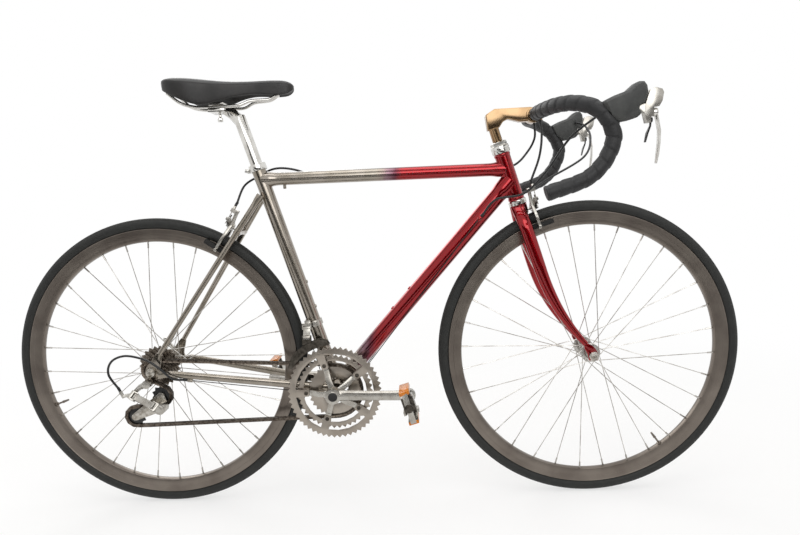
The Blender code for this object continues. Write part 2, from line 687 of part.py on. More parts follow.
def build_headset():
    """Two cups pressed into the head tube, and the locknut on the steerer."""
    sides = 12
    bore = outer_radius(STEERER_R + TURN_GAP, sides)
    low = HEAD_LOW - STEER_DIR * (LOWER_STACK - SEAT_GAP)
    height = LOWER_STACK - 2 * SEAT_GAP
    lower = revolve([(0, bore), (0, HEADSET_R - 0.003), (0.003, HEADSET_R - 0.0005),
                     (height * 0.6, HEADSET_R),
                     (height, HEADSET_R - 0.001), (height, bore)], sides, low, STEER_DIR)
    finish(combine("headset_cup_lower", [lower]), SILVER, 0.25, 1.0)
    high = HEAD_HIGH + STEER_DIR * SEAT_GAP
    height = UPPER_CUP_HEIGHT - 2 * SEAT_GAP
    upper = revolve([(0, bore), (0, HEADSET_R - 0.001), (height * 0.45, HEADSET_R),
                     (height * 0.5, HEADSET_R - 0.002),
                     (height * 0.6, HEADSET_R - 0.002), (height * 0.65, HEADSET_R),
                     (height, HEADSET_R - 0.001),
                     (height, bore)], sides, high, STEER_DIR)
    finish(combine("headset_cup_upper", [upper]), SILVER, 0.25, 1.0)
    nut_base = HEAD_HIGH + STEER_DIR * (UPPER_CUP_HEIGHT + SEAT_GAP)
    nut_bore = outer_radius(STEERER_R + SEAT_GAP, sides)
    height = LOCKNUT_HEIGHT - SEAT_GAP
    nut = revolve([(0, nut_bore), (0, 0.0190), (0.0022, 0.0190), (0.0022, 0.0178),
                   (height - 0.0012, 0.0178),
                   (height, 0.0165), (height, nut_bore)], sides, nut_base, STEER_DIR)
    finish(combine("headset_locknut", [nut]), SILVER, 0.25, 1.0)


def fork_blade(side):
    """One blade, from the crown to its tip, raked forward in a smooth bend."""
    crown = STEER_FOOT + STEER_DIR * (HEAD_TUBE_RISE - LOWER_STACK)
    reach = (crown - STEER_FOOT).length
    centre = []
    halves = []
    for share, y, half_wide, half_deep in FORK_STATIONS:
        down = crown - STEER_DIR * (reach * share)
        bend = max(0.0, (share - FORK_BEND_START) / (1 - FORK_BEND_START)) ** 2.2
        rake = (FORK_RAKE + FORK_BLADE_SETBACK) * bend - FORK_BLADE_SETBACK
        centre.append(down + STEER_FRONT * rake + Y_AXIS * side * y)
        halves.append((half_wide, half_deep))
    return loft(centre, halves, 8, Y_AXIS)


def build_fork():
    """Steerer, unicrown, two blades and tips in one piece, with the front brake's bolt."""
    crown = STEER_FOOT + STEER_DIR * (HEAD_TUBE_RISE - LOWER_STACK)
    top = HEAD_HIGH + STEER_DIR * (UPPER_CUP_HEIGHT + LOCKNUT_HEIGHT - 0.0008)
    shapes = [cylinder(crown - STEER_DIR * 0.010, top, STEERER_R, 12),
              cylinder(crown - STEER_DIR * CROWN_DEPTH, crown, 0.0165, 14, 0.0185)]
    for side in (RIGHT, LEFT):
        shapes.append(fork_blade(side))
        inner = side * (FRONT_SPACING / 2)
        outer = side * (FRONT_SPACING / 2 + FORK_TIP_THICKNESS)
        outline = [(-0.0215, 0.0190), (-0.0130, 0.0290), (0.0040, 0.0150), (0.0110, 0.0040),
                   (0.0100, -0.0100),
                   (-0.0090, -0.0110), (-0.0115, 0.0030)]
        shapes.append(side_plate(outline, FRONT_HUB, inner, outer))
    shapes += brake_bolt_shapes(front_brake_seat(), STEER_FRONT, FRONT_BOLT_LENGTH)
    quill_end = STEM_FOOT - STEER_DIR * QUILL_LENGTH
    cuts = [cylinder(quill_end - STEER_DIR * 0.004, top + STEER_DIR * 0.01,
                     outer_radius(QUILL_R + SEAT_GAP, 12), 12)]
    for side in (RIGHT, LEFT):
        cuts.append(axle_slot(FRONT_HUB, side, FRONT_SPACING / 2, FORK_TIP_THICKNESS, Vector((0.1, 0, -1))))
    return finish(combine("fork", shapes, cuts), RED, 0.3, 0.9, STEER_FOOT + STEER_DIR * HEAD_TUBE_RISE)


def front_brake_seat():
    """Point on the fork crown's axis where the front brake's bolt goes through."""
    return STEER_FOOT + STEER_DIR * (HEAD_TUBE_RISE - LOWER_STACK - FRONT_BRAKE_DROP)


def build_seat():
    """Collar, seatpost with its clamp head, saddle rails and cushion."""
    sides = 14
    bore = outer_radius(SEAT_TUBE_R + SEAT_GAP, sides)
    post_bore = outer_radius(SEATPOST_R + SEAT_GAP, sides)
    base = SEAT_TOP - SEAT_DIR * (COLLAR_HEIGHT - 0.003)
    ring = revolve([(0, bore), (0, COLLAR_R), (COLLAR_HEIGHT, COLLAR_R), (COLLAR_HEIGHT, post_bore),
                    (COLLAR_HEIGHT - 0.003 + SEAT_GAP, post_bore),
                    (COLLAR_HEIGHT - 0.003 + SEAT_GAP, bore)],
                   sides, base, SEAT_DIR)
    ear = base + SEAT_DIR * COLLAR_HEIGHT / 2 + SEAT_REAR * (COLLAR_R + 0.004)
    lug = block(ear, (0.010, 0.016, 0.009), 90 - SEAT_ANGLE, Y_AXIS)
    bolt = cylinder(at(ear, y=-0.0105), at(ear, y=0.0105), 0.0028, 8)
    finish(combine("seat_collar", [ring, lug, bolt]), SILVER, 0.25, 1.0)

    post_top = SEAT_TOP + SEAT_DIR * SEATPOST_EXPOSED
    clamp = saddle_clamp_point()
    post = cylinder(SEAT_TOP - SEAT_DIR * SEATPOST_INSERTED, post_top, SEATPOST_R, 14)
    neck = loft([post_top - SEAT_DIR * 0.012, mix(post_top, clamp, 0.35), mix(post_top, clamp, 0.75),
                 clamp],
                [(0.0133, 0.0133), (0.0120, 0.0125), (0.0110, 0.0090), (0.0150, 0.0060)], 8, Y_AXIS)
    wide = 2 * (RAIL_SPREAD + 0.004)
    cradle = block(at(clamp, z=CRADLE_DROP), (0.036, wide, 0.007))
    cap = block(at(clamp, z=CRADLE_DROP + 2 * RAIL_R + 0.0072), (0.032, wide, 0.0060))
    web = block(at(clamp, z=CRADLE_DROP + 0.006), (0.020, 2 * RAIL_SPREAD - 2 * RAIL_R - 0.004, 0.016))
    bolt = cylinder(at(clamp, z=-0.024), at(clamp, z=CRADLE_DROP + 0.018), 0.0032, 8)
    head = cylinder(at(clamp, z=-0.030), at(clamp, z=-0.022), 0.0060, 8)
    seatpost = combine("seatpost", [post, neck, cradle, cap, web, bolt, head])
    finish(seatpost, SILVER, 0.2, 1.0, SEAT_TOP)
    build_saddle(clamp)


def saddle_clamp_point():
    """Centre of the rails' clamp, behind and above the top of the seatpost."""
    return SEAT_TOP + SEAT_DIR * SEATPOST_EXPOSED + Vector((-CLAMP_SETBACK, 0, CLAMP_RISE))


def build_saddle(clamp):
    """Two bent rails in one piece with their nose bridge, and the padded shell over them."""
    rail_z = CRADLE_DROP + 0.0035 + RAIL_R + SEAT_GAP
    route = [(0.128, 0.006, RAIL_NOSE_Z - 0.0022), (0.112, 0.008, RAIL_NOSE_Z - 0.010),
             (0.075, 0.016, rail_z + 0.010),
             (0.050, RAIL_SPREAD, rail_z + 0.0008), (0.022, RAIL_SPREAD, rail_z),
             (-0.022, RAIL_SPREAD, rail_z),
             (-0.046, RAIL_SPREAD + 0.0015, rail_z + 0.0012), (-0.075, 0.030, rail_z + 0.010),
             (-0.100, 0.038, RAIL_REAR_Z)]
    right = [at(clamp, x=x, y=-y, z=z) for x, y, z in reversed(route)]
    left = [at(clamp, x=x, y=y, z=z) for x, y, z in route]
    nose = [at(clamp, x=0.133, z=RAIL_NOSE_Z - 0.0010)]
    rails = tube(right + nose + left, RAIL_R, 6, Z_AXIS)
    finish(combine("saddle_rails", [rails]), BRUSHED, 0.3, 1.0)

    shape = bmesh.new()
    rings = []
    for station in SADDLE_STATIONS:
        rings.append(saddle_ring(shape, clamp, *station))
    for ring, following in zip(rings, rings[1:]):
        for step in range(len(ring)):
            after = (step + 1) % len(ring)
            shape.faces.new((ring[step], ring[after], following[after], following[step]))
    shape.faces.new(rings[0])
    shape.faces.new(rings[-1])
    bmesh.ops.recalc_face_normals(shape, faces=shape.faces)
    finish(combine("saddle", [shape]), BLACK, 0.6, 0.0)


def saddle_ring(shape, clamp, x, half_width, top, shoulder, skirt, under):
    """Ring of one saddle station: crown, shoulder, drawn-in skirt and the raised underside."""
    half = [(0.0, top), (0.45 * half_width, top - 0.15 * (top - shoulder)),
            (0.82 * half_width, mix_value(top, shoulder, 0.5)),
            (half_width, shoulder), (0.97 * half_width, skirt), (0.86 * half_width, skirt - 0.0008),
            (0.72 * half_width, under), (0.0, under)]
    ring = [shape.verts.new(at(clamp, x=x, y=y, z=z)) for y, z in half]
    ring += [shape.verts.new(at(clamp, x=x, y=-y, z=z)) for y, z in reversed(half[1:-1])]
    return ring


def mix_value(first, second, share):
    """The number that lies the given share of the way between two numbers."""
    return first + (second - first) * share


def build_stem():
    """Quill stem with a flat-topped, arched extension and the ring that clamps the bar."""
    head = STEM_FOOT
    bar = BAR_CENTRE
    drop = head.z - bar.z
    outline = [(-0.0110, 0.0048), (0.0088, 0.0170), (STEM_REACH - 0.008, 0.0178 - drop),
               (STEM_REACH, 0.0165 - drop),
               (STEM_REACH, -0.0120 - drop), (STEM_REACH - 0.029, -0.0125), (0.0378, -0.0055),
               (0.0270, -0.0110),
               (0.0190, -0.0230), (-0.0065, -0.0300)]
    points = [Vector((head.x + x, STEM_HALF_WIDTH, head.z + z)) for x, z in outline]
    body = soften(prism(points, Y_AXIS * -2 * STEM_HALF_WIDTH), 0.0022, 60)
    quill = cylinder(head - STEER_DIR * QUILL_LENGTH, head - STEER_DIR * 0.004, QUILL_R, 12)
    ring = cylinder(at(bar, y=-BAR_CLAMP_HALF_WIDTH), at(bar, y=BAR_CLAMP_HALF_WIDTH), BAR_CLAMP_R, 16)
    pinch = block(at(bar, x=BAR_CLAMP_R + 0.0005), (0.010, 0.022, 0.012))
    pinch_bolt = cylinder(at(bar, x=BAR_CLAMP_R + 0.002, z=-0.010),
                          at(bar, x=BAR_CLAMP_R + 0.002, z=0.010), 0.0032, 6)
    bore = cylinder(at(bar, y=-0.05), at(bar, y=0.05), outer_radius(BAR_R + SEAT_GAP, 12), 12)
    slit = block(at(bar, x=BAR_CLAMP_R + 0.004), (0.022, 0.06, 0.0012))
    stem = combine("stem", [body, quill, ring, pinch, pinch_bolt], [bore, slit])
    finish(stem, SILVER, 0.15, 1.0)


def bar_route(side):
    """Centre line of one half of the bar, from the clamp's edge to the end of the drop."""
    bend = [(0.0060, 0.090, 0.0008), (0.0200, 0.135, 0.0025), (0.0430, 0.1760, 0.000),
            (0.0700, 0.2020, -0.0110),
            (0.0930, BAR_HALF_WIDTH, -0.0310), (0.1072, BAR_HALF_WIDTH, -0.0640),
            (0.1010, BAR_HALF_WIDTH, -0.0930),
            (0.0830, BAR_HALF_WIDTH, -0.1220), (0.0520, BAR_HALF_WIDTH, -0.1455)]
    middle = [at(BAR_CENTRE, x=x, y=side * y, z=z) for x, y, z in bend]
    first = at(BAR_CENTRE, y=side * BAR_BARE_HALF)
    last = at(BAR_CENTRE, x=-0.0131, y=side * BAR_HALF_WIDTH, z=-0.1663)
    return [first] + middle + [last]


def sleeve(points, inner, outer, sides, lid):
    """A tube wall round a path, open at its start and closed by a lid beyond its end."""
    away = (points[-1] - points[-2]).normalized()
    shape = bmesh.new()
    rows = []
    for radius, extra in ((outer, away * lid), (inner, away * 2 * SEAT_GAP)):
        skin = loft(points[:-1] + [points[-1] + extra], [(radius, radius)] * len(points), sides, Z_AXIS)
        skin.verts.ensure_lookup_table()
        rows.append([shape.verts.new(vert.co) for vert in skin.verts])
        skin.free()
    count = len(points)
    for row in rows:
        for ring in range(count - 1):
            for step in range(sides):
                after = (step + 1) % sides
                shape.faces.new((row[ring * sides + step], row[ring * sides + after],
                                 row[(ring + 1) * sides + after], row[(ring + 1) * sides + step]))
        shape.faces.new(row[-sides:])
    for step in range(sides):
        after = (step + 1) % sides
        shape.faces.new((rows[0][step], rows[0][after], rows[1][after], rows[1][step]))
    bmesh.ops.recalc_face_normals(shape, faces=shape.faces)
    return shape


def build_bar():
    """Drop bar, and the padded tape round each half with the plug that closes it."""
    left = bar_route(LEFT)
    right = bar_route(RIGHT)
    sides = 8
    bar = tube(list(reversed(right)) + left, BAR_R, sides, Z_AXIS)
    finish(combine("handlebar", [bar]), SILVER, 0.2, 1.0)
    for side, route in ((LEFT, left), (RIGHT, right)):
        wall = sleeve(route, outer_radius(BAR_R + SEAT_GAP, sides), TAPE_R, sides, BAR_PLUG_LENGTH)
        finish(combine("bar_tape_" + SIDES[side], [wall]), BLACK, 0.7, 0.0)


def lever_pivot(side):
    """Pivot of a brake lever on its hood."""
    return at(BAR_CENTRE, x=LEVER_PIVOT_X, y=side * BAR_HALF_WIDTH, z=LEVER_PIVOT_Z)


def build_levers(side):
    """Hood, lever head, brake blade and release paddle of one side."""
    name = SIDES[side]
    pivot = lever_pivot(side)
    pivot_bore = 0.0090
    hood_outline = [(-0.074, 0.0145), (-0.053, 0.0245), (-0.029, 0.0325), (-0.014, 0.0455),
                    (-0.004, 0.0495),
                    (0.005, 0.0450), (0.0075, 0.0290), (0.0030, 0.0110), (0.0, 0.0), (-0.0030, -0.0090),
                    (-0.0120, -0.0160), (-0.0230, -0.0195), (-0.0450, -0.0230), (-0.0620, -0.0120)]
    half = HOOD_HALF_WIDTH
    hood = side_plate(hood_outline, at(pivot, y=0), pivot.y - half, pivot.y + half)
    soften(hood, 0.0055, 30)
    route = bar_route(side)
    room = outer_radius(TAPE_R + SEAT_GAP, 8)
    bar_room = loft(route, [(room, room)] * len(route), 8, Z_AXIS)
    pocket = cylinder(at(pivot, y=-0.03), at(pivot, y=0.03), outer_radius(pivot_bore + SEAT_GAP, 12), 12)
    hood_piece = combine("hood_" + name, [hood], [bar_room, pocket])
    finish(hood_piece, BLACK, 0.75, 0.0)

    head_outline = [(0.0045, 0.0080), (0.0125, 0.0330), (0.0230, 0.0365), (0.0340, 0.0330),
                    (0.0370, 0.0270),
                    (0.0345, 0.0120), (0.0290, 0.0025), (0.0200, 0.0025), (0.0200, -0.0150),
                    (0.0140, -0.0150),
                    (0.0140, -0.0260), (0.0075, -0.0260), (0.0030, -0.0080)]
    head = side_plate(head_outline, at(pivot, y=0), pivot.y - LEVER_HALF_WIDTH, pivot.y + LEVER_HALF_WIDTH)
    hub = cylinder(at(pivot, y=-LEVER_HALF_WIDTH + SEAT_GAP), at(pivot, y=LEVER_HALF_WIDTH - SEAT_GAP),
                   pivot_bore, 12)
    finish(combine("lever_head_" + name, [head, hub]), BRUSHED, 0.3, 1.0, pivot)

    swing = at(pivot, x=0.0200 + SEAT_GAP, z=BLADE_AXIS_Z)
    boss = cylinder(swing, at(swing, x=0.0075), 0.0078, 10)
    route = [at(swing, x=0.0050, z=-0.001), at(swing, x=0.0085, z=-0.016), at(swing, x=0.0118, z=-0.033),
             at(swing, x=0.0115, z=-0.054), at(swing, x=0.0092, z=-0.076), at(swing, x=0.0068, z=-0.0925)]
    halves = [(0.0065, 0.0034), (0.0068, 0.0030), (0.0068, 0.0028), (0.0064, 0.0028), (0.0060, 0.0027),
              (0.0040, 0.0020)]
    blade = loft(route, halves, 8, Y_AXIS)
    finish(combine("lever_blade_" + name, [boss, blade]), BRUSHED, 0.3, 1.0, swing)

    flick = at(pivot, x=0.0140 + SEAT_GAP, z=PADDLE_AXIS_Z)
    boss = cylinder(flick, at(flick, x=0.0050), 0.0048, 8)
    route = [at(flick, x=0.0025, z=-0.001), at(flick, x=0.0015, z=-0.011), at(flick, x=-0.0040, z=-0.024),
             at(flick, x=-0.0075, z=-0.040)]
    paddle = loft(route, [(0.0030, 0.0018), (0.0035, 0.0018), (0.0075, 0.0018), (0.0050, 0.0014)], 6,
                  Y_AXIS)
    finish(combine("paddle_" + name, [boss, paddle]), STEEL, 0.4, 0.6, flick)


def build_wheel(name, hub, flanges, barrel_r, flange_r, ends, valve_angle):
    """Tyre, rim with its valve, and a laced hub with its spokes."""
    half = TYRE_WIDTH / 2
    bead = RIM_OUTER_R - 0.0067
    tyre_half = [(-0.0068, bead), (-0.0074, RIM_OUTER_R + 0.0006), (-half, RIM_OUTER_R + 0.0105),
                 (-half * 0.44, TYRE_RADIUS)]
    tyre = tyre_half + [(-y, radius) for y, radius in reversed(tyre_half)]
    finish(combine(name + "_tyre", [revolve(tyre, WHEEL_SEGMENTS, hub, Y_AXIS)]), BLACK, 0.8, 0.0, hub)

    well = bead - SEAT_GAP
    rim_half = [(-0.0040, RIM_INNER_R), (-RIM_HALF_WIDTH, RIM_INNER_R + 0.0135),
                (-RIM_HALF_WIDTH, RIM_OUTER_R),
                (-0.0078, well)]
    rim = rim_half + [(-y, radius) for y, radius in reversed(rim_half)]
    turn = math.radians(valve_angle)
    outward = Vector((math.cos(turn), 0, math.sin(turn)))
    stem = cylinder(hub + outward * (RIM_INNER_R - VALVE_LENGTH + 0.014),
                    hub + outward * (RIM_INNER_R + 0.002), 0.0030, 6)
    cap = cylinder(hub + outward * (RIM_INNER_R - VALVE_LENGTH),
                   hub + outward * (RIM_INNER_R - VALVE_LENGTH + 0.015),
                   0.0022, 6, 0.0038)
    rim_piece = combine(name + "_rim", [revolve(rim, WHEEL_SEGMENTS, hub, Y_AXIS), stem, cap])
    finish(rim_piece, BRUSHED, 0.3, 1.0, hub)

    bore = outer_radius(AXLE_R + TURN_GAP, 12)
    low, high = ends
    near, far = flanges
    thick = FLANGE_THICKNESS / 2
    profile = [(low, bore), (low, barrel_r * 0.8), (near - thick, barrel_r), (near - thick, flange_r),
               (near + thick, flange_r), (near + 2 * thick, barrel_r), (far - 2 * thick, barrel_r),
               (far - thick, flange_r), (far + thick, flange_r), (far + thick, barrel_r),
               (high, barrel_r * 0.8),
               (high, bore)]
    shapes = [revolve(profile, 12, hub, Y_AXIS)]
    rim_end = RIM_INNER_R * math.cos(math.pi / WHEEL_SEGMENTS) - 1.6 * SEAT_GAP
    for side, plane in ((0, near), (1, far)):
        shapes += spokes(hub, plane, flange_r - 0.0024, rim_end, side, turn)
    finish(combine(name + "_hub", shapes), SILVER, 0.25, 1.0, hub)


def spokes(hub, plane, flange_r, rim_r, side, valve_turn):
    """Half of a wheel's spokes, leaving one flange on its two faces and crossing three times."""
    shapes = []
    holes = SPOKE_COUNT // 2
    pitch = math.tau / holes
    lean = SPOKE_CROSSES * pitch
    for hole in range(holes):
        direction = 1 if hole % 2 else -1
        rim_turn = valve_turn + pitch * (hole + 0.25 + 0.5 * side)
        start_turn = rim_turn + direction * lean
        offset = direction * SPOKE_FACE_OFFSET
        start = hub + Vector((flange_r * math.cos(start_turn), plane + offset,
                              flange_r * math.sin(start_turn)))
        end = hub + Vector((rim_r * math.cos(rim_turn), 0.10 * plane, rim_r * math.sin(rim_turn)))
        shapes.append(cylinder(start, end, SPOKE_R, 3))
    return shapes


def build_axle(name, hub, spacing, plate, lock_inner, lever_turn):
    """Axle with its locknuts, the domed nut on the drive side, and the quick-release lever."""
    half = spacing / 2
    outer = half + plate + SEAT_GAP
    shapes = [cylinder(at(hub, y=-outer - 0.004), at(hub, y=outer + 0.004), AXLE_R, 10)]
    for side in (RIGHT, LEFT):
        inner = lock_inner[0] if side == RIGHT else lock_inner[1]
        shapes.append(cylinder(at(hub, y=side * inner), at(hub, y=side * (half - SEAT_GAP)), 0.0085, 8))
    shapes.append(cylinder(at(hub, y=-outer), at(hub, y=-outer - 0.0065), 0.0105, 12))
    shapes.append(cylinder(at(hub, y=-outer - 0.0060), at(hub, y=-outer - 0.0115), 0.0098, 12, 0.0050))
    boss = [(0.0, 0.0), (0.0, CAM_BOSS_R), (CAM_BOSS_LENGTH - 0.0015, CAM_BOSS_R),
            (CAM_BOSS_LENGTH, CAM_BOSS_R - 0.0014), (CAM_BOSS_LENGTH, 0.0)]
    shapes.append(revolve(boss, 16, at(hub, y=outer), Y_AXIS))
    finish(combine(name + "_axle", shapes), SILVER, 0.2, 1.0, hub)
    cam = at(hub, y=outer + CAM_BOSS_LENGTH - 0.0030)
    root = CAM_BOSS_R + 0.0005
    turn = math.radians(lever_turn)
    along = Vector((math.cos(turn), 0, math.sin(turn)))
    wide = along.cross(Y_AXIS)
    outline = [along * root - wide * 0.0048, along * root + wide * 0.0048, along * 0.036 + wide * 0.0056,
               along * 0.050 + wide * 0.0050, along * 0.0535, along * 0.050 - wide * 0.0050,
               along * 0.036 - wide * 0.0056]
    lever = prism([cam + point + Y_AXIS * 0.0024 for point in outline], Y_AXIS * -0.0048)
    soften(lever, 0.0010, 50)
    finish(combine(name + "_qr_lever", [lever]), SILVER, 0.2, 1.0, cam)


def build_brake(prefix, seat, front, up, hub, bolt_length):
    """Side-pull brake: two arms in layers on the frame's bolt, and the release lever."""
    layers = dict(zip((RIGHT, LEFT), brake_layers(bolt_length)))
    reach = brake_reach(seat, front, up, hub, bolt_length)
    wire_f = layers[LEFT] + BRAKE_LAYER + WIRE_FORWARD
    pad_f = layers[RIGHT] + BRAKE_LAYER + PAD_FORWARD
    face = RIM_HALF_WIDTH + PAD_CLEARANCE
    back = face + PAD_THICKNESS

    def place(h, w, f):
        return seat + Y_AXIS * h + up * w + front * f

    flank = [(0.0325, -0.2 * reach), (0.0360, -0.55 * reach), (0.0335, -0.9 * reach),
             (0.0310, -reach - 0.0060), (0.0232, -reach - 0.0060), (0.0250, -0.8 * reach),
             (0.0262, -0.55 * reach), (0.0225, -0.2 * reach - 0.001), (0.0150, -0.0030), (0.0060, -0.0062)]
    raised = [(0.0150, 0.0150), (0.0240, 0.0270), (0.0290, 0.0370), (0.0290, 0.0460), (0.0390, 0.0460),
              (0.0390, 0.0360), (0.0320, 0.0220), (0.0245, 0.0080)]
    crossed = [(-0.0050, -0.0058), (-0.0180, -0.0010), (-0.0300, 0.0070), (-0.0430, 0.0150),
               (-0.0440, 0.0230), (-0.0370, 0.0240), (-0.0280, 0.0170), (-0.0160, 0.0110)]
    right_end = [(-0.0045, -0.0058), (-0.0072, 0.0), (-0.0052, 0.0058)]
    outlines = {RIGHT: [(0.0, 0.0085)] + raised + flank + right_end,
                LEFT: [(0.0, 0.0085), (0.0120, 0.0095), (0.0240, 0.0040)] + flank + crossed}
    for side in (RIGHT, LEFT):
        base = layers[side]
        shapes = [prism([place(side * h, w, base) for h, w in outlines[side]], front * BRAKE_LAYER)]
        pad = [(face, -reach - 0.0052), (back, -reach - 0.0046), (back, -reach + 0.0046),
               (face, -reach + 0.0052)]
        shapes.append(prism([place(side * h, w, pad_f - PAD_LENGTH / 2) for h, w in pad],
                            front * PAD_LENGTH))
        shapes.append(cylinder(place(side * (back - 0.002), -reach, base + BRAKE_LAYER / 2),
                               place(side * 0.0385, -reach, base + BRAKE_LAYER / 2), 0.0036, 6))
        if side == RIGHT:
            lug = [place(h, w, base + 0.001) for h,
                   w in ((-0.0380, 0.0365), (-0.0300, 0.0365), (-0.0300, 0.0450), (-0.0380, 0.0450))]
            shapes.append(prism(lug, front * (wire_f + 0.0038 - base - 0.001)))
            shapes.append(cylinder(place(-BARREL_SIDE, 0.040, wire_f),
                                   place(-BARREL_SIDE, BARREL_TOP, wire_f),
                                   0.0034, 6))
            shapes.append(cylinder(place(-BARREL_SIDE, 0.006, wire_f),
                                   place(-BARREL_SIDE, 0.038, wire_f), WIRE_R, 4))
        else:
            shapes.append(cylinder(place(-WIRE_CLAMP_SIDE, WIRE_CLAMP_RISE, base + 0.001),
                                   place(-WIRE_CLAMP_SIDE, WIRE_CLAMP_RISE, wire_f + 0.0022),
                                   WIRE_CLAMP_R, 6))
        bore = cylinder(seat, seat + front * 0.08, outer_radius(BRAKE_BOLT_R + SEAT_GAP, 8), 8)
        item = combine(prefix + "_brake_arm_" + SIDES[side], shapes, [bore])
        finish(item, SILVER, 0.25, 1.0, seat)
    eye = place(-0.0200, 0.0110, layers[LEFT] + BRAKE_LAYER + SEAT_GAP)
    wide = front.cross(up)
    outline = [eye + up * 0.0040 - wide * 0.0026, eye + up * 0.0165 - wide * 0.0020,
               eye + up * 0.0165 + wide * 0.0020, eye + up * 0.0040 + wide * 0.0026]
    qr_lever = prism([point + front * 0.0004 for point in outline], front * 0.0022)
    disc = cylinder(eye, eye + front * 0.0036, 0.0048, 8)
    finish(combine(prefix + "_brake_qr", [disc, qr_lever]), STEEL, 0.4, 0.8, eye)


def tangent_line(first, second):
    """Straight chain run between two wheels, each (centre, radius, turn) with turn +1 for clockwise."""
    (start, start_r, start_turn), (end, end_r, end_turn) = first, second
    gap = end - start
    angle = math.atan2(gap.z, gap.x)
    angle += math.asin((end_turn * end_r - start_turn * start_r) / math.hypot(gap.x, gap.z))
    normal = Vector((math.sin(angle), 0, -math.cos(angle)))
    return start - normal * start_turn * start_r, end - normal * end_turn * end_r


def chain_wheels():
    """Wheels that the chain runs round, in order: centre, teeth, turn, plane."""
    sprocket_y = -SPROCKET_OUTER_PLANE
    return [(BB, RING_TEETH[2], 1, -RING_PLANES[2]), (tension_point(), PULLEY_TEETH, 1, sprocket_y),
            (guide_point(), PULLEY_TEETH, -1, sprocket_y), (REAR_HUB, SPROCKET_TEETH[0], 1, sprocket_y)]


def chain_path():
    """Straight runs and arcs of the chain, with its pin count and the pitch on the runs."""
    wheels = chain_wheels()
    discs = [(Vector((c.x, 0, c.z)), pitch_radius(teeth), turn) for c, teeth, turn, plane in wheels]
    runs = [tangent_line(discs[index], discs[(index + 1) % 4]) for index in range(4)]
    arcs = []
    for index, (centre, radius, turn) in enumerate(discs):
        entry = runs[index - 1][1] - centre
        leave = runs[index][0] - centre
        begin = math.atan2(entry.z, entry.x)
        sweep = (turn * (begin - math.atan2(leave.z, leave.x))) % math.tau
        arcs.append((begin, sweep))
    on_arcs = sum(sweep * wheel[1] / math.tau for (begin, sweep), wheel in zip(arcs, wheels))
    straight = sum((end - start).length for start, end in runs)
    links = 2 * round((straight / CHAIN_PITCH + on_arcs) / 2)
    return wheels, discs, runs, arcs, links, straight / (links - on_arcs)


def chain_pins():
    """Pin centres of every link, and the angle at which each wheel meets a pin."""
    wheels, discs, runs, arcs, links, run_pitch = chain_path()
    pins = []
    phases = []
    left_over = 0.0
    for index, (centre, radius, turn) in enumerate(discs):
        begin, sweep = arcs[index]
        teeth, plane = wheels[index][1], wheels[index][3]
        step = math.tau / teeth
        phases.append(begin - turn * left_over * step)
        count = left_over
        while count * step < sweep:
            angle = begin - turn * count * step
            pins.append(Vector((centre.x + radius * math.cos(angle), plane,
                                centre.z + radius * math.sin(angle))))
            count += 1.0
        start, end = runs[index]
        next_plane = wheels[(index + 1) % 4][3]
        length = (end - start).length
        travel = (count - sweep / step) * run_pitch
        while travel < length:
            point = mix(start, end, travel / length)
            point.y = chain_plane(plane, next_plane, travel / length)
            pins.append(point)
            travel += run_pitch
        left_over = (travel - length) / run_pitch
    return pins[:links], phases


def chain_plane(start, end, share):
    """Plane of the chain on a run: it leaves each wheel straight and bends over in between."""
    return mix_value(start, end, share * share * (3 - 2 * share))


def guide_point():
    """Centre of the guide pulley."""
    return at(REAR_HUB, x=GUIDE_X, y=-SPROCKET_OUTER_PLANE, z=GUIDE_Z)


def tension_point():
    """Centre of the tension pulley."""
    turn = math.radians(CAGE_ANGLE)
    return at(guide_point(), x=PULLEY_SPACING * math.cos(turn), z=PULLEY_SPACING * math.sin(turn))


def chain_frames(pins):
    """For each pin its directions ahead and up, and whether the chain bends there."""
    frames = []
    count = len(pins)
    for index, pin in enumerate(pins):
        before, after = pins[index - 1], pins[(index + 1) % count]
        coming = Vector((pin.x - before.x, pin.z - before.z)).normalized()
        going = Vector((after.x - pin.x, after.z - pin.z)).normalized()
        middle = (coming + going).normalized()
        ahead = Vector((middle.x, 0, middle.y))
        frames.append((ahead, Vector((-ahead.z, 0, ahead.x)),
                       coming.dot(going) < math.cos(math.radians(1.0))))
    return frames


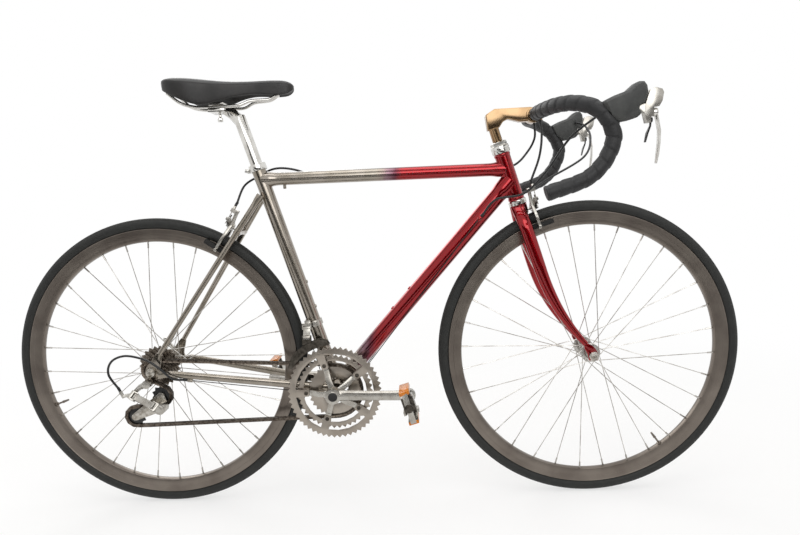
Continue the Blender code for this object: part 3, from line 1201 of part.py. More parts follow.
def build_chain(pins):
    """Closed roller chain: two rows of side plates tied by a roller at each pin, or each third on a run."""
    shape = bmesh.new()
    count = len(pins)
    frames = chain_frames(pins)
    kept = [index for index in range(count) if index % CHAIN_RUN_STEP == 0
            or any(frames[(index + near) % count][2] for near in (-1, 0, 1))]
    rollers = [[], []]
    for index, pin in enumerate(pins):
        ahead, up, bent = frames[index]
        if index % 3 and index not in kept:
            rollers[0].append(None)
            rollers[1].append(None)
            continue
        for row, side in ((0, RIGHT), (1, LEFT)):
            middle = pin + Y_AXIS * side * CHAIN_PLATE_Y
            rollers[row].append([shape.verts.new(middle + (ahead * a + up * b) * ROLLER_R)
                                 for a, b in ROLLER_CORNERS])
        near, far = rollers[0][-1], rollers[1][-1]
        for step in range(4):
            after = (step + 1) % 4
            shape.faces.new((near[step], near[after], far[after], far[step]))
    for row, side in ((0, RIGHT), (1, LEFT)):
        section = {}
        for index in kept:
            pin, (ahead, up, bent) = pins[index], frames[index]
            section[index] = [shape.verts.new(pin + Y_AXIS * side * y + up * z) for y, z in
                              ((CHAIN_PLATE_Y, CHAIN_HALF_HEIGHT), (CHAIN_HALF_WIDTH, CHAIN_HALF_HEIGHT),
                               (CHAIN_HALF_WIDTH, -CHAIN_HALF_HEIGHT), (CHAIN_PLATE_Y, -CHAIN_HALF_HEIGHT))]
        for here, there in zip(kept, kept[1:] + [kept[0] + count]):
            now, then = section[here], section[there % count]
            for step in range(3):
                shape.faces.new((now[step], now[step + 1], then[step + 1], then[step]))
            first, last = rollers[row][here], rollers[row][there % count]
            between = [rollers[row][index % count] for index in range(here + 1, there)]
            between = [roller for roller in between if roller]
            for corner, edge in ((1, 0), (3, 3)):
                skin = [now[edge], first[corner], first[0]]
                for roller in between:
                    skin += [roller[2], roller[corner], roller[0]]
                shape.faces.new(skin + [last[2], last[corner], then[edge]])
    bmesh.ops.recalc_face_normals(shape, faces=shape.faces)
    bmesh.ops.triangulate(shape, faces=shape.faces)
    finish(combine("chain", [shape]), STEEL, 0.35, 1.0)


def toothed_ring(teeth, phase, inner_r, plane, thickness, tabs=(), tab_inner=0.0):
    """A chain wheel about the bottom bracket, with bolt tabs that reach inwards."""
    outline = gear_outline(teeth, phase)
    gear = prism([Vector((BB.x + x, plane - thickness / 2, BB.z + z)) for x, z in outline],
                 Y_AXIS * thickness)
    hole = []
    if tabs:
        for angle in tabs:
            half = math.degrees(TAB_HALF_WIDTH / tab_inner)
            wide = math.degrees(1.25 * TAB_HALF_WIDTH / inner_r)
            hole += arc(BB.x, BB.z, tab_inner, angle - half, angle + half, 1)
            hole += arc(BB.x, BB.z, inner_r, angle + wide, angle + 72 - wide, 4)
    else:
        hole = arc(BB.x, BB.z, inner_r, 0, 360, 18)[:-1]
    cutter = prism([Vector((x, plane - 0.01, z)) for x, z in hole], Y_AXIS * 0.02)
    return gear, cutter


def build_rings(ring_phase):
    """Three chainrings on their planes, each one seated 0.3 mm off the spider."""
    tabs = [SPIDER_ANGLE + 72 * arm for arm in range(5)]
    phases = (math.radians(90), math.radians(90), ring_phase)
    inner = (pitch_radius(RING_TEETH[0]) - RING_BAND[0], pitch_radius(RING_TEETH[1]) - RING_BAND[1],
             SMALL_BOLT_CIRCLE_R - 0.006)
    for index, teeth in enumerate(RING_TEETH):
        big = index < 2
        gear, cutter = toothed_ring(teeth, phases[index], inner[index], -RING_PLANES[index], RING_THICKNESS,
                                    tabs if big else (), BOLT_CIRCLE_R - 0.0065)
        ring = combine("chainring_" + str(teeth), [gear], [cutter])
        finish(ring, BRUSHED, 0.3, 1.0, BB)


def build_cassette(phase):
    """Sprockets on their carrier, with the lockring, turning freely round the axle."""
    shapes = []
    for index, teeth in enumerate(SPROCKET_TEETH):
        plane = -SPROCKET_OUTER_PLANE + index * SPROCKET_PITCH
        start = phase if index == 0 else math.radians(90 + 7 * index)
        outline = gear_outline(teeth, start)
        shapes.append(prism([Vector((REAR_HUB.x + x, plane - SPROCKET_THICKNESS / 2, REAR_HUB.z + z))
                             for x, z in outline], Y_AXIS * SPROCKET_THICKNESS))
    inner_end = -SPROCKET_OUTER_PLANE + (len(SPROCKET_TEETH) - 1) * SPROCKET_PITCH + CASSETTE_BACK
    carrier = cylinder(at(REAR_HUB, y=-SPROCKET_OUTER_PLANE - CASSETTE_FRONT), at(REAR_HUB, y=inner_end),
                       0.0172, 10)
    bore = cylinder(at(REAR_HUB, y=-0.08), at(REAR_HUB, y=0), outer_radius(AXLE_R + TURN_GAP, 10), 10)
    finish(combine("cassette", [carrier] + shapes, [bore]), STEEL, 0.35, 1.0, REAR_HUB)


def build_crank(side, shapes, cuts):
    """Crank arm with its boss and pedal spindle, flaring outwards to the pedal."""
    turn = math.radians(CRANK_ANGLE if side == RIGHT else CRANK_ANGLE + 180)
    along = Vector((math.cos(turn), 0, math.sin(turn)))
    tip = BB + along * CRANK_LENGTH
    outer = CRANK_OUTER_Y
    stations = ((0.000, CRANK_BOSS_Y, 0.0085, 0.0140), (0.030, CRANK_BOSS_Y + 0.003, 0.0080, 0.0120),
                (0.080, outer - 0.0145, 0.0068, 0.0112), (0.140, outer - 0.0075, 0.0062, 0.0112),
                (CRANK_LENGTH, outer - 0.0065, 0.0060, 0.0122))
    arm = loft([at(BB + along * distance, y=side * y) for distance, y, wide, high in stations],
               [(wide, high) for distance, y, wide, high in stations], 8, Y_AXIS)
    boss = cylinder(at(BB, y=side * (CRANK_BOSS_Y - 0.0125)), at(BB, y=side * (CRANK_BOSS_Y + 0.0095)),
                    0.0178, 14)
    cap = cylinder(at(BB, y=side * (CRANK_BOSS_Y + 0.0090)), at(BB, y=side * (CRANK_BOSS_Y + 0.0112)),
                   0.0120, 10, 0.0105)
    eye = cylinder(at(tip, y=side * (outer - 0.0130)), at(tip, y=side * outer), 0.0138, 12)
    collar = cylinder(at(tip, y=side * (outer - 0.001)), at(tip, y=side * (PEDAL_INNER_Y - TURN_GAP)),
                      0.0075, 8, 0.0062)
    spindle = cylinder(at(tip, y=side * (PEDAL_INNER_Y - 0.002)),
                       at(tip, y=side * (PEDAL_INNER_Y + PEDAL_LENGTH - 0.006)), PEDAL_SPINDLE_R, 8)
    item = combine("crank_" + SIDES[side], [boss, arm, cap, eye, collar, spindle] + shapes, cuts)
    finish(item, SILVER, 0.25, 1.0, BB)
    return tip


def build_cranks():
    """Both cranks: the left one carries the spindle, the right one the spider for the rings."""
    end = CRANK_BOSS_Y + 0.0040
    spindle = cylinder(at(BB, y=-end), at(BB, y=CRANK_BOSS_Y), SPINDLE_R, 12)
    build_pedal(LEFT, build_crank(LEFT, [spindle], []))
    tab_outer = -RING_PLANES[0] + RING_THICKNESS / 2 + SEAT_GAP
    tab_inner = -RING_PLANES[1] - RING_THICKNESS / 2 - SEAT_GAP
    tab_middle = (tab_outer + tab_inner) / 2
    tab_half = (tab_inner - tab_outer) / 2
    shapes = []
    profile = [(0.0120, -0.0540), (0.0360, -0.0545), (0.0530, tab_middle + tab_half),
               (0.0715, tab_middle + tab_half),
               (0.0715, tab_middle - tab_half), (0.0530, tab_middle - tab_half), (0.0360, -0.0610),
               (0.0120, -0.0635)]
    for arm in range(5):
        turn = math.radians(SPIDER_ANGLE + 72 * arm)
        along = Vector((math.cos(turn), 0, math.sin(turn)))
        wide = along.cross(Y_AXIS) * SPIDER_HALF_WIDTH
        shapes.append(prism([BB + along * out + Y_AXIS * y - wide for out, y in profile], wide * 2))
        post = BB + along * SMALL_BOLT_CIRCLE_R
        shapes.append(cylinder(at(post, y=-0.0560), at(post,
                                                       y=-RING_PLANES[2] - RING_THICKNESS / 2 - SEAT_GAP),
                               0.0042, 6))
    bore = cylinder(at(BB, y=-end - SEAT_GAP), at(BB, y=0), outer_radius(SPINDLE_R + SEAT_GAP, 12), 12)
    build_pedal(RIGHT, build_crank(RIGHT, shapes, [bore]))


def build_pedal(side, centre):
    """Two-sided pedal: barrel, cleat plates, side rails and a reflector bar at each end."""
    turn = math.radians(PEDAL_TILT)
    along = Vector((math.cos(turn), 0, math.sin(turn)))
    up = Vector((-along.z, 0, along.x))
    start = PEDAL_INNER_Y
    end = PEDAL_INNER_Y + PEDAL_LENGTH

    def slab(a, b, low, high, near, far):
        outline = [centre + along * a + up * low, centre + along * b + up * low,
                   centre + along * b + up * high, centre + along * a + up * high]
        return prism([at(point, y=side * near) for point in outline], Y_AXIS * side * (far - near))

    shapes = [cylinder(at(centre, y=side * start), at(centre, y=side * end), 0.0095, 10)]
    shapes.append(cylinder(at(centre, y=side * (end - 0.001)), at(centre, y=side * (end + 0.004)),
                           0.0082, 8, 0.0070))
    for end_sign in (-1, 1):
        outer = end_sign * PEDAL_HALF_REACH
        inner = end_sign * (PEDAL_HALF_REACH - 0.0075)
        shapes.append(slab(min(inner, outer), max(inner, outer), -0.0105, 0.0105, start + 0.004,
                           end - 0.004))
    for near, far in ((start + 0.001, start + 0.0055), (end - 0.0055, end - 0.001)):
        shapes.append(slab(-PEDAL_HALF_REACH + 0.003, PEDAL_HALF_REACH - 0.003, -0.0060, 0.0060, near, far))
    for face in (-1, 1):
        low, high = sorted((face * 0.0060, face * 0.0125))
        shapes.append(slab(-0.0190, 0.0170, low, high, start + 0.020, end - 0.018))
        low, high = sorted((face * 0.0110, face * 0.0165))
        shapes.append(slab(0.0120, 0.0195, low, high, start + 0.022, end - 0.020))
    bore = cylinder(at(centre, y=side * (start - 0.01)), at(centre, y=side * (end - 0.004)),
                    outer_radius(PEDAL_SPINDLE_R + TURN_GAP, 8), 8)
    finish(combine("pedal_" + SIDES[side], shapes, [bore]), STEEL, 0.35, 0.9, centre)


def rear_mech_axes():
    """Direction at mid travel, slanted pin axis and inward direction of the parallelogram."""
    slope = math.radians(MECH_SLOPE)
    slant = math.radians(MECH_SLANT)
    forward = Vector((math.cos(slope), 0, -math.sin(slope)))
    inward = Vector((0, math.cos(slant), -math.sin(slant)))
    pin = forward.cross(inward).normalized()
    return forward, pin, pin.cross(forward)


def build_rear_mech(guide_phase, tension_phase):
    """Slant-parallelogram rear mechanism: two knuckles, two links, cage and two pulleys."""
    forward, pin, inward = rear_mech_axes()
    rest = math.radians(MECH_REST)
    link = forward * math.cos(rest) - inward * math.sin(rest)
    cage_pivot = at(REAR_HUB, x=CAGE_PIVOT_X, z=CAGE_PIVOT_Z)
    low_outer = at(cage_pivot, x=-0.0140, y=-MECH_PIN_Y, z=0.0100)
    high_outer = low_outer - link * MECH_LINK
    across = inward * MECH_LINK_PITCH
    half = MECH_LINK_HEIGHT / 2

    for name, shift in (("rd_link_outer", 0.0), ("rd_link_inner", 1.0)):
        top, low = high_outer + across * shift, low_outer + across * shift
        side = pin.cross(link)
        bar = [top + side * 0.0016, top - side * 0.0016, low - side * 0.0016, low + side * 0.0016]
        shapes = [prism([point - pin * (half - SEAT_GAP) for point in bar], pin * 2 * (half - SEAT_GAP))]
        shapes += [cylinder(eye - pin * half, eye + pin * half, 0.0036, 8) for eye in (top, low)]
        finish(combine(name, shapes), BRUSHED, 0.3, 1.0, top)

    def ears(anchor, behind):
        """Fork of two ears over the pins of a knuckle, and a cutter for the room of its links."""
        def corner(u, n, v=-EAR_MARGIN):
            return anchor + forward * u * behind + inward * v + pin * n
        low, high = half + SEAT_GAP, half + SEAT_GAP + EAR_THICKNESS
        outline = [(-0.0042, -high), (0.0105, -high), (0.0105, high), (-0.0042, high), (-0.0042, low),
                   (0.0045, low),
                   (0.0045, -low), (-0.0042, -low)]
        width = MECH_LINK_PITCH + 2 * EAR_MARGIN
        part = prism([corner(u, n) for u, n in outline], inward * width)
        trim = low + 0.00005
        room = [(-0.0300, -trim), (0.00455, -trim), (0.00455, trim), (-0.0300, trim)]
        cutter = prism([corner(u, n, -0.0300) for u, n in room], inward * 0.0900)
        return [part], cutter

    hanger = hanger_point()
    outer_face = -(dropout_y() + DROPOUT_THICKNESS + SEAT_GAP)
    parts, cutter = ears(high_outer, -1)
    boss = cylinder(at(hanger, y=outer_face), at(hanger, y=outer_face - 0.0150), 0.0095, 12)
    bolt = cylinder(at(hanger, y=outer_face + 0.0060), at(hanger, y=outer_face - 0.002), HANGER_BOLT_R, 8)
    ear_top = high_outer + across * 0.5 - forward * 0.0060 + pin * (half + 0.0035)
    root = at(hanger, y=outer_face - 0.0100)
    arm = loft([root, mix(root, ear_top, 0.5) - forward * 0.003, ear_top],
               [(0.0050, 0.0080), (0.0060, 0.0060), (0.0075, 0.0050)], 8, Y_AXIS)
    top = adjuster_top() - Z_AXIS * SEAT_GAP
    barrel_low = top + Vector((0.0070, 0, -0.0150))
    barrel = cylinder(top, barrel_low, 0.0040, 6)
    lug = loft([top + Vector((0.0050, 0, -0.0110)), high_outer + across * 0.4 - forward * 0.0085],
               [(0.0035, 0.0035), (0.0045, 0.0050)], 6, Y_AXIS)
    finish(combine("rd_b_knuckle", parts + [boss, bolt, arm, barrel, lug], [cutter]), SILVER, 0.3, 1.0,
           hanger)

    plane = -SPROCKET_OUTER_PLANE
    cage_outer = plane - CAGE_HALF_GAP - CAGE_PLATE
    parts, cutter = ears(low_outer, 1)
    body = cylinder(at(cage_pivot, y=cage_outer - SEAT_GAP), at(cage_pivot, y=cage_outer - 0.0235),
                    0.0125, 12)
    nose = cylinder(at(cage_pivot, y=cage_outer - 0.0230), at(cage_pivot, y=cage_outer - 0.0255), 0.0100,
                    10, 0.0080)
    finish(combine("rd_p_knuckle", parts + [body, nose], [cutter]), SILVER, 0.3, 1.0, low_outer)

    guide, tension = guide_point(), tension_point()
    shapes = []
    for start, end, centres in ((plane - CAGE_HALF_GAP - CAGE_PLATE, plane - CAGE_HALF_GAP,
                                 ((guide, 0.0085), (cage_pivot, 0.0110), (tension, 0.0085))),
                                (plane + CAGE_HALF_GAP, plane + CAGE_HALF_GAP + CAGE_PLATE,
                                 ((guide, 0.0085), (tension, 0.0085)))):
        outline = hull_of_discs([(Vector((c.x, 0, c.z)), radius) for c, radius in centres])
        shapes.append(prism([Vector((p.x, start, p.z)) for p in outline], Y_AXIS * (end - start)))
    for centre in (guide, tension):
        shapes.append(cylinder(at(centre, y=-CAGE_HALF_GAP - 0.0005),
                               at(centre, y=CAGE_HALF_GAP + 0.0005), PULLEY_PIN_R, 8))
    finish(combine("rd_cage", shapes), STEEL, 0.35, 1.0, cage_pivot)

    for name, centre, phase in (("guide_pulley", guide, guide_phase),
                                ("tension_pulley", tension, tension_phase)):
        outline = gear_outline(PULLEY_TEETH, phase, PULLEY_TOOTH_HEIGHT)
        wheel = prism([Vector((centre.x + x, centre.y - 0.0012, centre.z + z)) for x, z in outline],
                      Y_AXIS * 0.0024)
        hub = cylinder(at(centre, y=-CAGE_HALF_GAP + SEAT_GAP), at(centre, y=CAGE_HALF_GAP - SEAT_GAP),
                       0.0075, 8)
        bore = cylinder(at(centre, y=-0.02), at(centre, y=0.02),
                        outer_radius(PULLEY_PIN_R + TURN_GAP, 8), 8)
        finish(combine(name, [wheel, hub], [bore]), BLACK, 0.6, 0.0, centre)


def hull_of_discs(discs):
    """Outline round a few discs in the (x, z) plane, as their convex hull."""
    points = []
    for centre, radius in discs:
        points += [(centre.x + radius * math.cos(turn), centre.z + radius * math.sin(turn))
                   for turn in (math.tau * step / 10 for step in range(10))]
    points = sorted(set(points))
    hull = []
    for ordered in (points, points[::-1]):
        chain = []
        for point in ordered:
            while len(chain) > 1 and ((chain[-1][0] - chain[-2][0]) * (point[1] - chain[-2][1])
                                      - (chain[-1][1] - chain[-2][1]) * (point[0] - chain[-2][0])) <= 1e-12:
                chain.pop()
            chain.append(point)
        hull += chain[:-1]
    return [Vector((x, 0, z)) for x, z in hull]


def front_mech_pivots():
    """Upper and lower pivots of the front mechanism's link, and its clamp's centre."""
    clamp = BB + SEAT_DIR * FRONT_MECH_RISE
    upper = at(clamp, x=-0.0130, y=-0.0290, z=-0.0040)
    return clamp, upper, at(upper, y=-0.0100, z=-0.0200)


def build_front_mech():
    """Band on the seat tube, swinging link, and the cage of two plates over the rings."""
    clamp, upper, lower = front_mech_pivots()
    bore = outer_radius(SEAT_TUBE_R + SEAT_GAP, 14)
    rim = bore + 0.0022
    band = revolve([(-0.0065, bore), (-0.0065, rim), (0.0065, rim), (0.0065, bore)], 14, clamp, SEAT_DIR)
    arm = block(at(clamp, x=-0.0110, y=-0.0238, z=0.0064), (0.0130, 0.0130, 0.0110))
    shapes = [band, arm, block(at(upper, z=0.0072), (FD_PIN_LENGTH + 0.0046, 0.0085, 0.0052))]
    for end in (-1, 1):
        x = end * (FD_PIN_LENGTH / 2 + SEAT_GAP)
        shapes.append(block(at(upper, x=x + end * 0.0010, z=0.0020), (0.0020, 0.0083, 0.0120)))
    finish(combine("fd_bracket", shapes), SILVER, 0.3, 1.0)

    half = FD_PIN_LENGTH / 2
    eyes = [cylinder(at(point, x=-half), at(point, x=half), 0.0038, 8) for point in (upper, lower)]
    gap = lower - upper
    side = gap.cross(X_AXIS).normalized() * 0.0016
    inset = half - SEAT_GAP
    bar = prism([at(upper + side, x=-inset), at(upper - side, x=-inset), at(lower - side, x=-inset),
                 at(lower + side, x=-inset)], X_AXIS * 2 * inset)
    finish(combine("fd_link", eyes + [bar]), SILVER, 0.3, 1.0, upper)

    big = pitch_radius(RING_TEETH[0])
    shapes = [block(at(lower, z=-0.0111), (FD_PIN_LENGTH + 0.0046, 0.0080, 0.0130))]
    for end in (-1, 1):
        x = end * (FD_PIN_LENGTH / 2 + SEAT_GAP)
        shapes.append(block(at(lower, x=x + end * 0.0010, z=-0.0030), (0.0020, 0.0080, 0.0120)))
    low_r = big + 0.0040
    outline = arc(0, 0, low_r, 93, 149, 9) + [((low_r + 0.011) * math.cos(math.radians(151)),
                                               (low_r + 0.011) * math.sin(math.radians(151)))]
    outline += arc(0, 0, low_r + 0.0170, 138, 104, 4) + [(-0.012, low_r + 0.0100)]
    for inner, outer in (FD_INNER_PLATE, FD_OUTER_PLATE):
        shapes.append(side_plate(outline, BB, -inner, -outer))
    roof = [at(BB, x=(low_r + 0.0150) * math.cos(math.radians(angle)),
               z=(low_r + 0.0150) * math.sin(math.radians(angle)))
            for angle in (109, 127)]
    thick = (roof[1] - roof[0]).cross(Y_AXIS).normalized() * 0.0018
    top = [roof[0], roof[1], roof[1] + thick, roof[0] + thick]
    shapes.append(prism([at(point, y=-FD_INNER_PLATE[0]) for point in top],
                        Y_AXIS * (FD_INNER_PLATE[0] - FD_OUTER_PLATE[1])))
    finish(combine("fd_cage", shapes), STEEL, 0.4, 1.0, lower)


def cable(name, stretches, colour):
    """One cable along its stretches, each (points, radius): thick where cased, thin where bare."""
    curve = bpy.data.curves.new(name, "CURVE")
    curve.dimensions = "3D"
    curve.bevel_depth = HOUSING_R
    curve.bevel_resolution = 1
    curve.use_fill_caps = True
    knots = []
    for points, radius in stretches:
        knots += [(point, radius / HOUSING_R) for point in points]
    spline = curve.splines.new("POLY")
    spline.points.add(len(knots) - 1)
    for spot, (point, share) in zip(spline.points, knots):
        spot.co = (*point, 1.0)
        spot.radius = share
    item = bpy.data.objects.new(name, curve)
    bpy.context.scene.collection.objects.link(item)
    material = bpy.data.materials.new(name)
    material.use_nodes = True
    shader = material.node_tree.nodes["Principled BSDF"]
    shader.inputs["Base Color"].default_value = (*[channel / 255 for channel in colour], 1.0)
    shader.inputs["Roughness"].default_value = 0.5
    curve.materials.append(material)
    return item


def down_tube_dir():
    """Direction of the down tube, from the bottom bracket up to the head tube."""
    return (HEAD_LOW + STEER_DIR * DOWN_TUBE_RISE - BB).normalized()


def down_stop(side):
    """Middle of the cable stop on one side of the down tube."""
    return BB + down_tube_dir() * DOWN_STOP_RISE + Y_AXIS * side * (DOWN_TUBE_R + STOP_STANDOFF)


def top_stop(x_from_end, end):
    """Middle of a cable stop on the top tube's left side."""
    return Vector((end.x + x_from_end, TOP_TUBE_R + STOP_STANDOFF, TOP_TUBE_HEIGHT))


def chainstay_stop():
    """Middle of the cable stop under the right chainstay, and the direction in which it points."""
    along = (chainstay_point(1.0, RIGHT) - chainstay_point(0.0, RIGHT)).normalized()
    return at(chainstay_point(REAR_STOP_SHARE, RIGHT), z=-REAR_STOP_DROP), along


def barrel_point(seat, front, up, bolt_length):
    """Top of a brake's barrel, where its cable enters."""
    first, second = brake_layers(bolt_length)
    return seat + up * BARREL_TOP - Y_AXIS * BARREL_SIDE + front * (second + BRAKE_LAYER + WIRE_FORWARD)


def housing(start, leave, knots, end, arrive):
    """A casing's path through its knots, which leaves and meets its seats squarely."""
    path = smooth_path([start + leave * SQUARE_RUN] + knots + [end + arrive * SQUARE_RUN], 2)
    return [start] + path + [end]


def build_cables():
    """Two brake cables and two shift cables along their routes from the bar."""
    half = CABLE_STOP_LENGTH / 2
    front_top = barrel_point(front_brake_seat(), STEER_FRONT, STEER_DIR,
                             FRONT_BOLT_LENGTH) + STEER_DIR * SEAT_GAP
    route = [at(BAR_CENTRE, x=0.0125, y=-0.0340, z=-0.0400), at(BAR_CENTRE, x=0.0105, y=-0.0350, z=-0.0700),
             at(BAR_CENTRE, x=0.0040, y=-0.0345, z=-0.1000)]
    exit_point = at(BAR_CENTRE, x=0.0106, y=-0.0325, z=-0.0132)
    cable("cable_front_brake", [(housing(exit_point, -Z_AXIS, route, front_top, STEER_DIR), HOUSING_R)],
          BLACK)

    front_stop = top_stop(-TOP_STOP_FRONT, TOP_AT_HEAD)
    rear_stop = top_stop(TOP_STOP_REAR, TOP_AT_SEAT)
    up = rear_brake_up()
    rear_top = barrel_point(brake_bridge_point(), rear_brake_axis(), up, BRAKE_BOLT_LENGTH) + up * SEAT_GAP
    exit_point = at(BAR_CENTRE, x=0.0106, y=0.0325, z=-0.0132)
    route = [at(BAR_CENTRE, x=0.0115, y=0.0380, z=-0.0450), at(TOP_AT_HEAD, x=0.0560, y=0.0430, z=0.0400),
             at(TOP_AT_HEAD, x=0.0250, y=0.0420, z=0.0100), at(TOP_AT_HEAD, x=-0.0300, y=0.0300, z=-0.0030)]
    entry = housing(exit_point, -Z_AXIS, route, at(front_stop, x=half + SEAT_GAP), X_AXIS)
    wire = [at(front_stop, x=half), at(rear_stop, x=-half)]
    hook = [at(TOP_AT_SEAT, x=0.0700, y=0.0190, z=0.0200), at(TOP_AT_SEAT, x=0.0250, y=0.0220, z=0.0240),
            at(TOP_AT_SEAT, x=-0.0150, y=0.0240, z=0.0080), at(TOP_AT_SEAT, x=-0.0430, y=0.0060, z=-0.0120)]
    leave = housing(at(rear_stop, x=-half - SEAT_GAP), -X_AXIS, hook, rear_top, up)
    cable("cable_rear_brake", [(entry, HOUSING_R), (wire, WIRE_R), (leave, HOUSING_R)], BLACK)

    along = down_tube_dir()
    for side in (RIGHT, LEFT):
        pivot = lever_pivot(side)
        stop = down_stop(side)
        hood_face = at(pivot, x=-0.0120, y=-side * (HOOD_HALF_WIDTH + SEAT_GAP), z=0.0200)
        if side == RIGHT:
            route = [at(pivot, x=-0.0250, y=0.0550, z=0.0170), at(pivot, x=-0.0600, y=0.0950, z=-0.0050),
                     at(pivot, x=-0.1000, y=0.1250, z=-0.0400), at(HEAD_LOW, x=0.0550, y=-0.0600, z=0.0600),
                     at(HEAD_LOW, x=0.0100, y=-0.0400, z=0.0140), at(stop, y=-0.0080) + along * 0.0550]
        else:
            route = [at(pivot, x=0.0020, y=-0.0500, z=0.0080), at(pivot, x=0.0050, y=-0.0850, z=-0.0250),
                     at(pivot, x=-0.0200, y=-0.1150, z=-0.0700), at(HEAD_LOW, x=0.0900, y=0.0750, z=0.0450),
                     at(HEAD_LOW, x=0.0300, y=0.0480, z=0.0160), at(stop, y=0.0080) + along * 0.0550]
        casing = housing(hood_face, -Y_AXIS * side, route, stop + along * (half + SEAT_GAP), along)
        under = at(BB, x=0.0150, y=side * 0.0100, z=-0.0236)
        below = at(BB, x=-0.0040, y=side * 0.0080, z=-0.0240)
        wire = [stop + along * half, stop - along * half, under, below]
        if side == LEFT:
            clamp, upper, lower = front_mech_pivots()
            wire += [at(BB, x=-0.0260, y=-0.0030, z=-0.0110), at(upper, y=0.0030, z=-0.0062)]
            cable("shift_cable_left", [(casing, HOUSING_R), (wire, WIRE_R)], BLACK)
        else:
            rear, lean = chainstay_stop()
            leave = rear + lean * (half + SEAT_GAP)
            wire += [at(BB, x=-0.0260, y=-0.0150, z=-0.0150), rear - lean * half, rear + lean * half]
            loop = [at(REAR_HUB, x=x, y=y, z=z) for x, y, z in
                    ((0.0480, -0.0765, -0.0150), (0.0230, -0.0840, 0.0130), (-0.0030, -0.0880, 0.0330),
                     (-0.0450, -0.0900, 0.0440), (-0.0780, -0.0890, 0.0320), (-0.0900, -0.0850, 0.0020))]
            tail = housing(leave, lean, loop, adjuster_top(), Vector((-0.42, 0, 0.91)))
            cable("shift_cable_right", [(casing, HOUSING_R), (wire, WIRE_R), (tail, HOUSING_R)], BLACK)


def adjuster_top():
    """Upper end of the rear mechanism's barrel adjuster."""
    return at(REAR_HUB, x=ADJUSTER_X, y=-ADJUSTER_Y, z=ADJUSTER_Z)


def rear_brake_up():
    """Direction from the rear brake up along the seatstays."""
    back = rear_brake_axis()
    return Vector((back.z, 0, -back.x))


def brake_layers(bolt_length):
    """Distances from the frame at which a brake's two arms start."""
    second = bolt_length - BRAKE_CAP_LENGTH - SEAT_GAP - BRAKE_LAYER
    return second - SEAT_GAP - BRAKE_LAYER, second


def brake_reach(seat, front, up, hub, bolt_length):
    """Drop from a brake's bolt to the middle of the rim's brake track."""
    first, second = brake_layers(bolt_length)
    offset = seat + front * (first + BRAKE_LAYER + PAD_FORWARD) - hub
    along = offset.dot(up)
    away = (offset - up * along).length
    return along - math.sqrt((RIM_OUTER_R - RIM_TRACK_DROP) ** 2 - away ** 2)


def build_bicycle():
    """Build every sub-part."""
    clear_scene()
    build_frame()
    build_headset()
    build_fork()
    build_seat()
    build_stem()
    build_bar()
    for side in (RIGHT, LEFT):
        build_levers(side)
    front_end = FRONT_SPACING / 2 - LOCKNUT_LENGTH - SEAT_GAP
    build_wheel("front", FRONT_HUB, (-FRONT_FLANGE_Y, FRONT_FLANGE_Y), FRONT_BARREL_R, FRONT_FLANGE_R,
                (-front_end, front_end), FRONT_VALVE_ANGLE)
    rear_right = SPROCKET_OUTER_PLANE - (len(SPROCKET_TEETH) - 1) * SPROCKET_PITCH - CASSETTE_BACK - SEAT_GAP
    rear_left = REAR_SPACING / 2 - LOCKNUT_LENGTH - SEAT_GAP
    build_wheel("rear", REAR_HUB, (-REAR_RIGHT_FLANGE_Y, REAR_LEFT_FLANGE_Y), REAR_BARREL_R, REAR_FLANGE_R,
                (-rear_right, rear_left), REAR_VALVE_ANGLE)
    build_axle("front", FRONT_HUB, FRONT_SPACING, FORK_TIP_THICKNESS,
               (FRONT_SPACING / 2 - LOCKNUT_LENGTH, FRONT_SPACING / 2 - LOCKNUT_LENGTH), FRONT_LEVER_ANGLE)
    build_axle("rear", REAR_HUB, REAR_SPACING, DROPOUT_THICKNESS,
               (SPROCKET_OUTER_PLANE + CASSETTE_FRONT + SEAT_GAP, REAR_SPACING / 2 - LOCKNUT_LENGTH),
               REAR_LEVER_ANGLE)
    back, up = rear_brake_axis(), rear_brake_up()
    build_brake("front", front_brake_seat(), STEER_FRONT, STEER_DIR, FRONT_HUB, FRONT_BOLT_LENGTH)
    build_brake("rear", brake_bridge_point(), back, up, REAR_HUB, BRAKE_BOLT_LENGTH)
    pins, phases = chain_pins()
    ring_phase, tension_phase, guide_phase, sprocket_phase = phases
    build_chain(pins)
    build_rings(ring_phase)
    build_cassette(sprocket_phase)
    build_cranks()
    build_rear_mech(guide_phase, tension_phase)
    build_front_mech()
    build_cables()


build_bicycle()
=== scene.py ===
# %% [markdown]
# # A road bicycle, dressed over its working solids
# The real object is a steel racing bicycle with a dropped bar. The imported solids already
# hold its sizes and its joints, so each cell here adds one piece or one finish on top of
# them: a finer shape where the solid is coarse, and a material that behaves like the real
# one. Lengths are in metres, +X is forward, +Y is the rider's left and +Z is up.

# %% Load the working solids
import math

import bpy
import numpy as np
from mathutils import Matrix, Vector


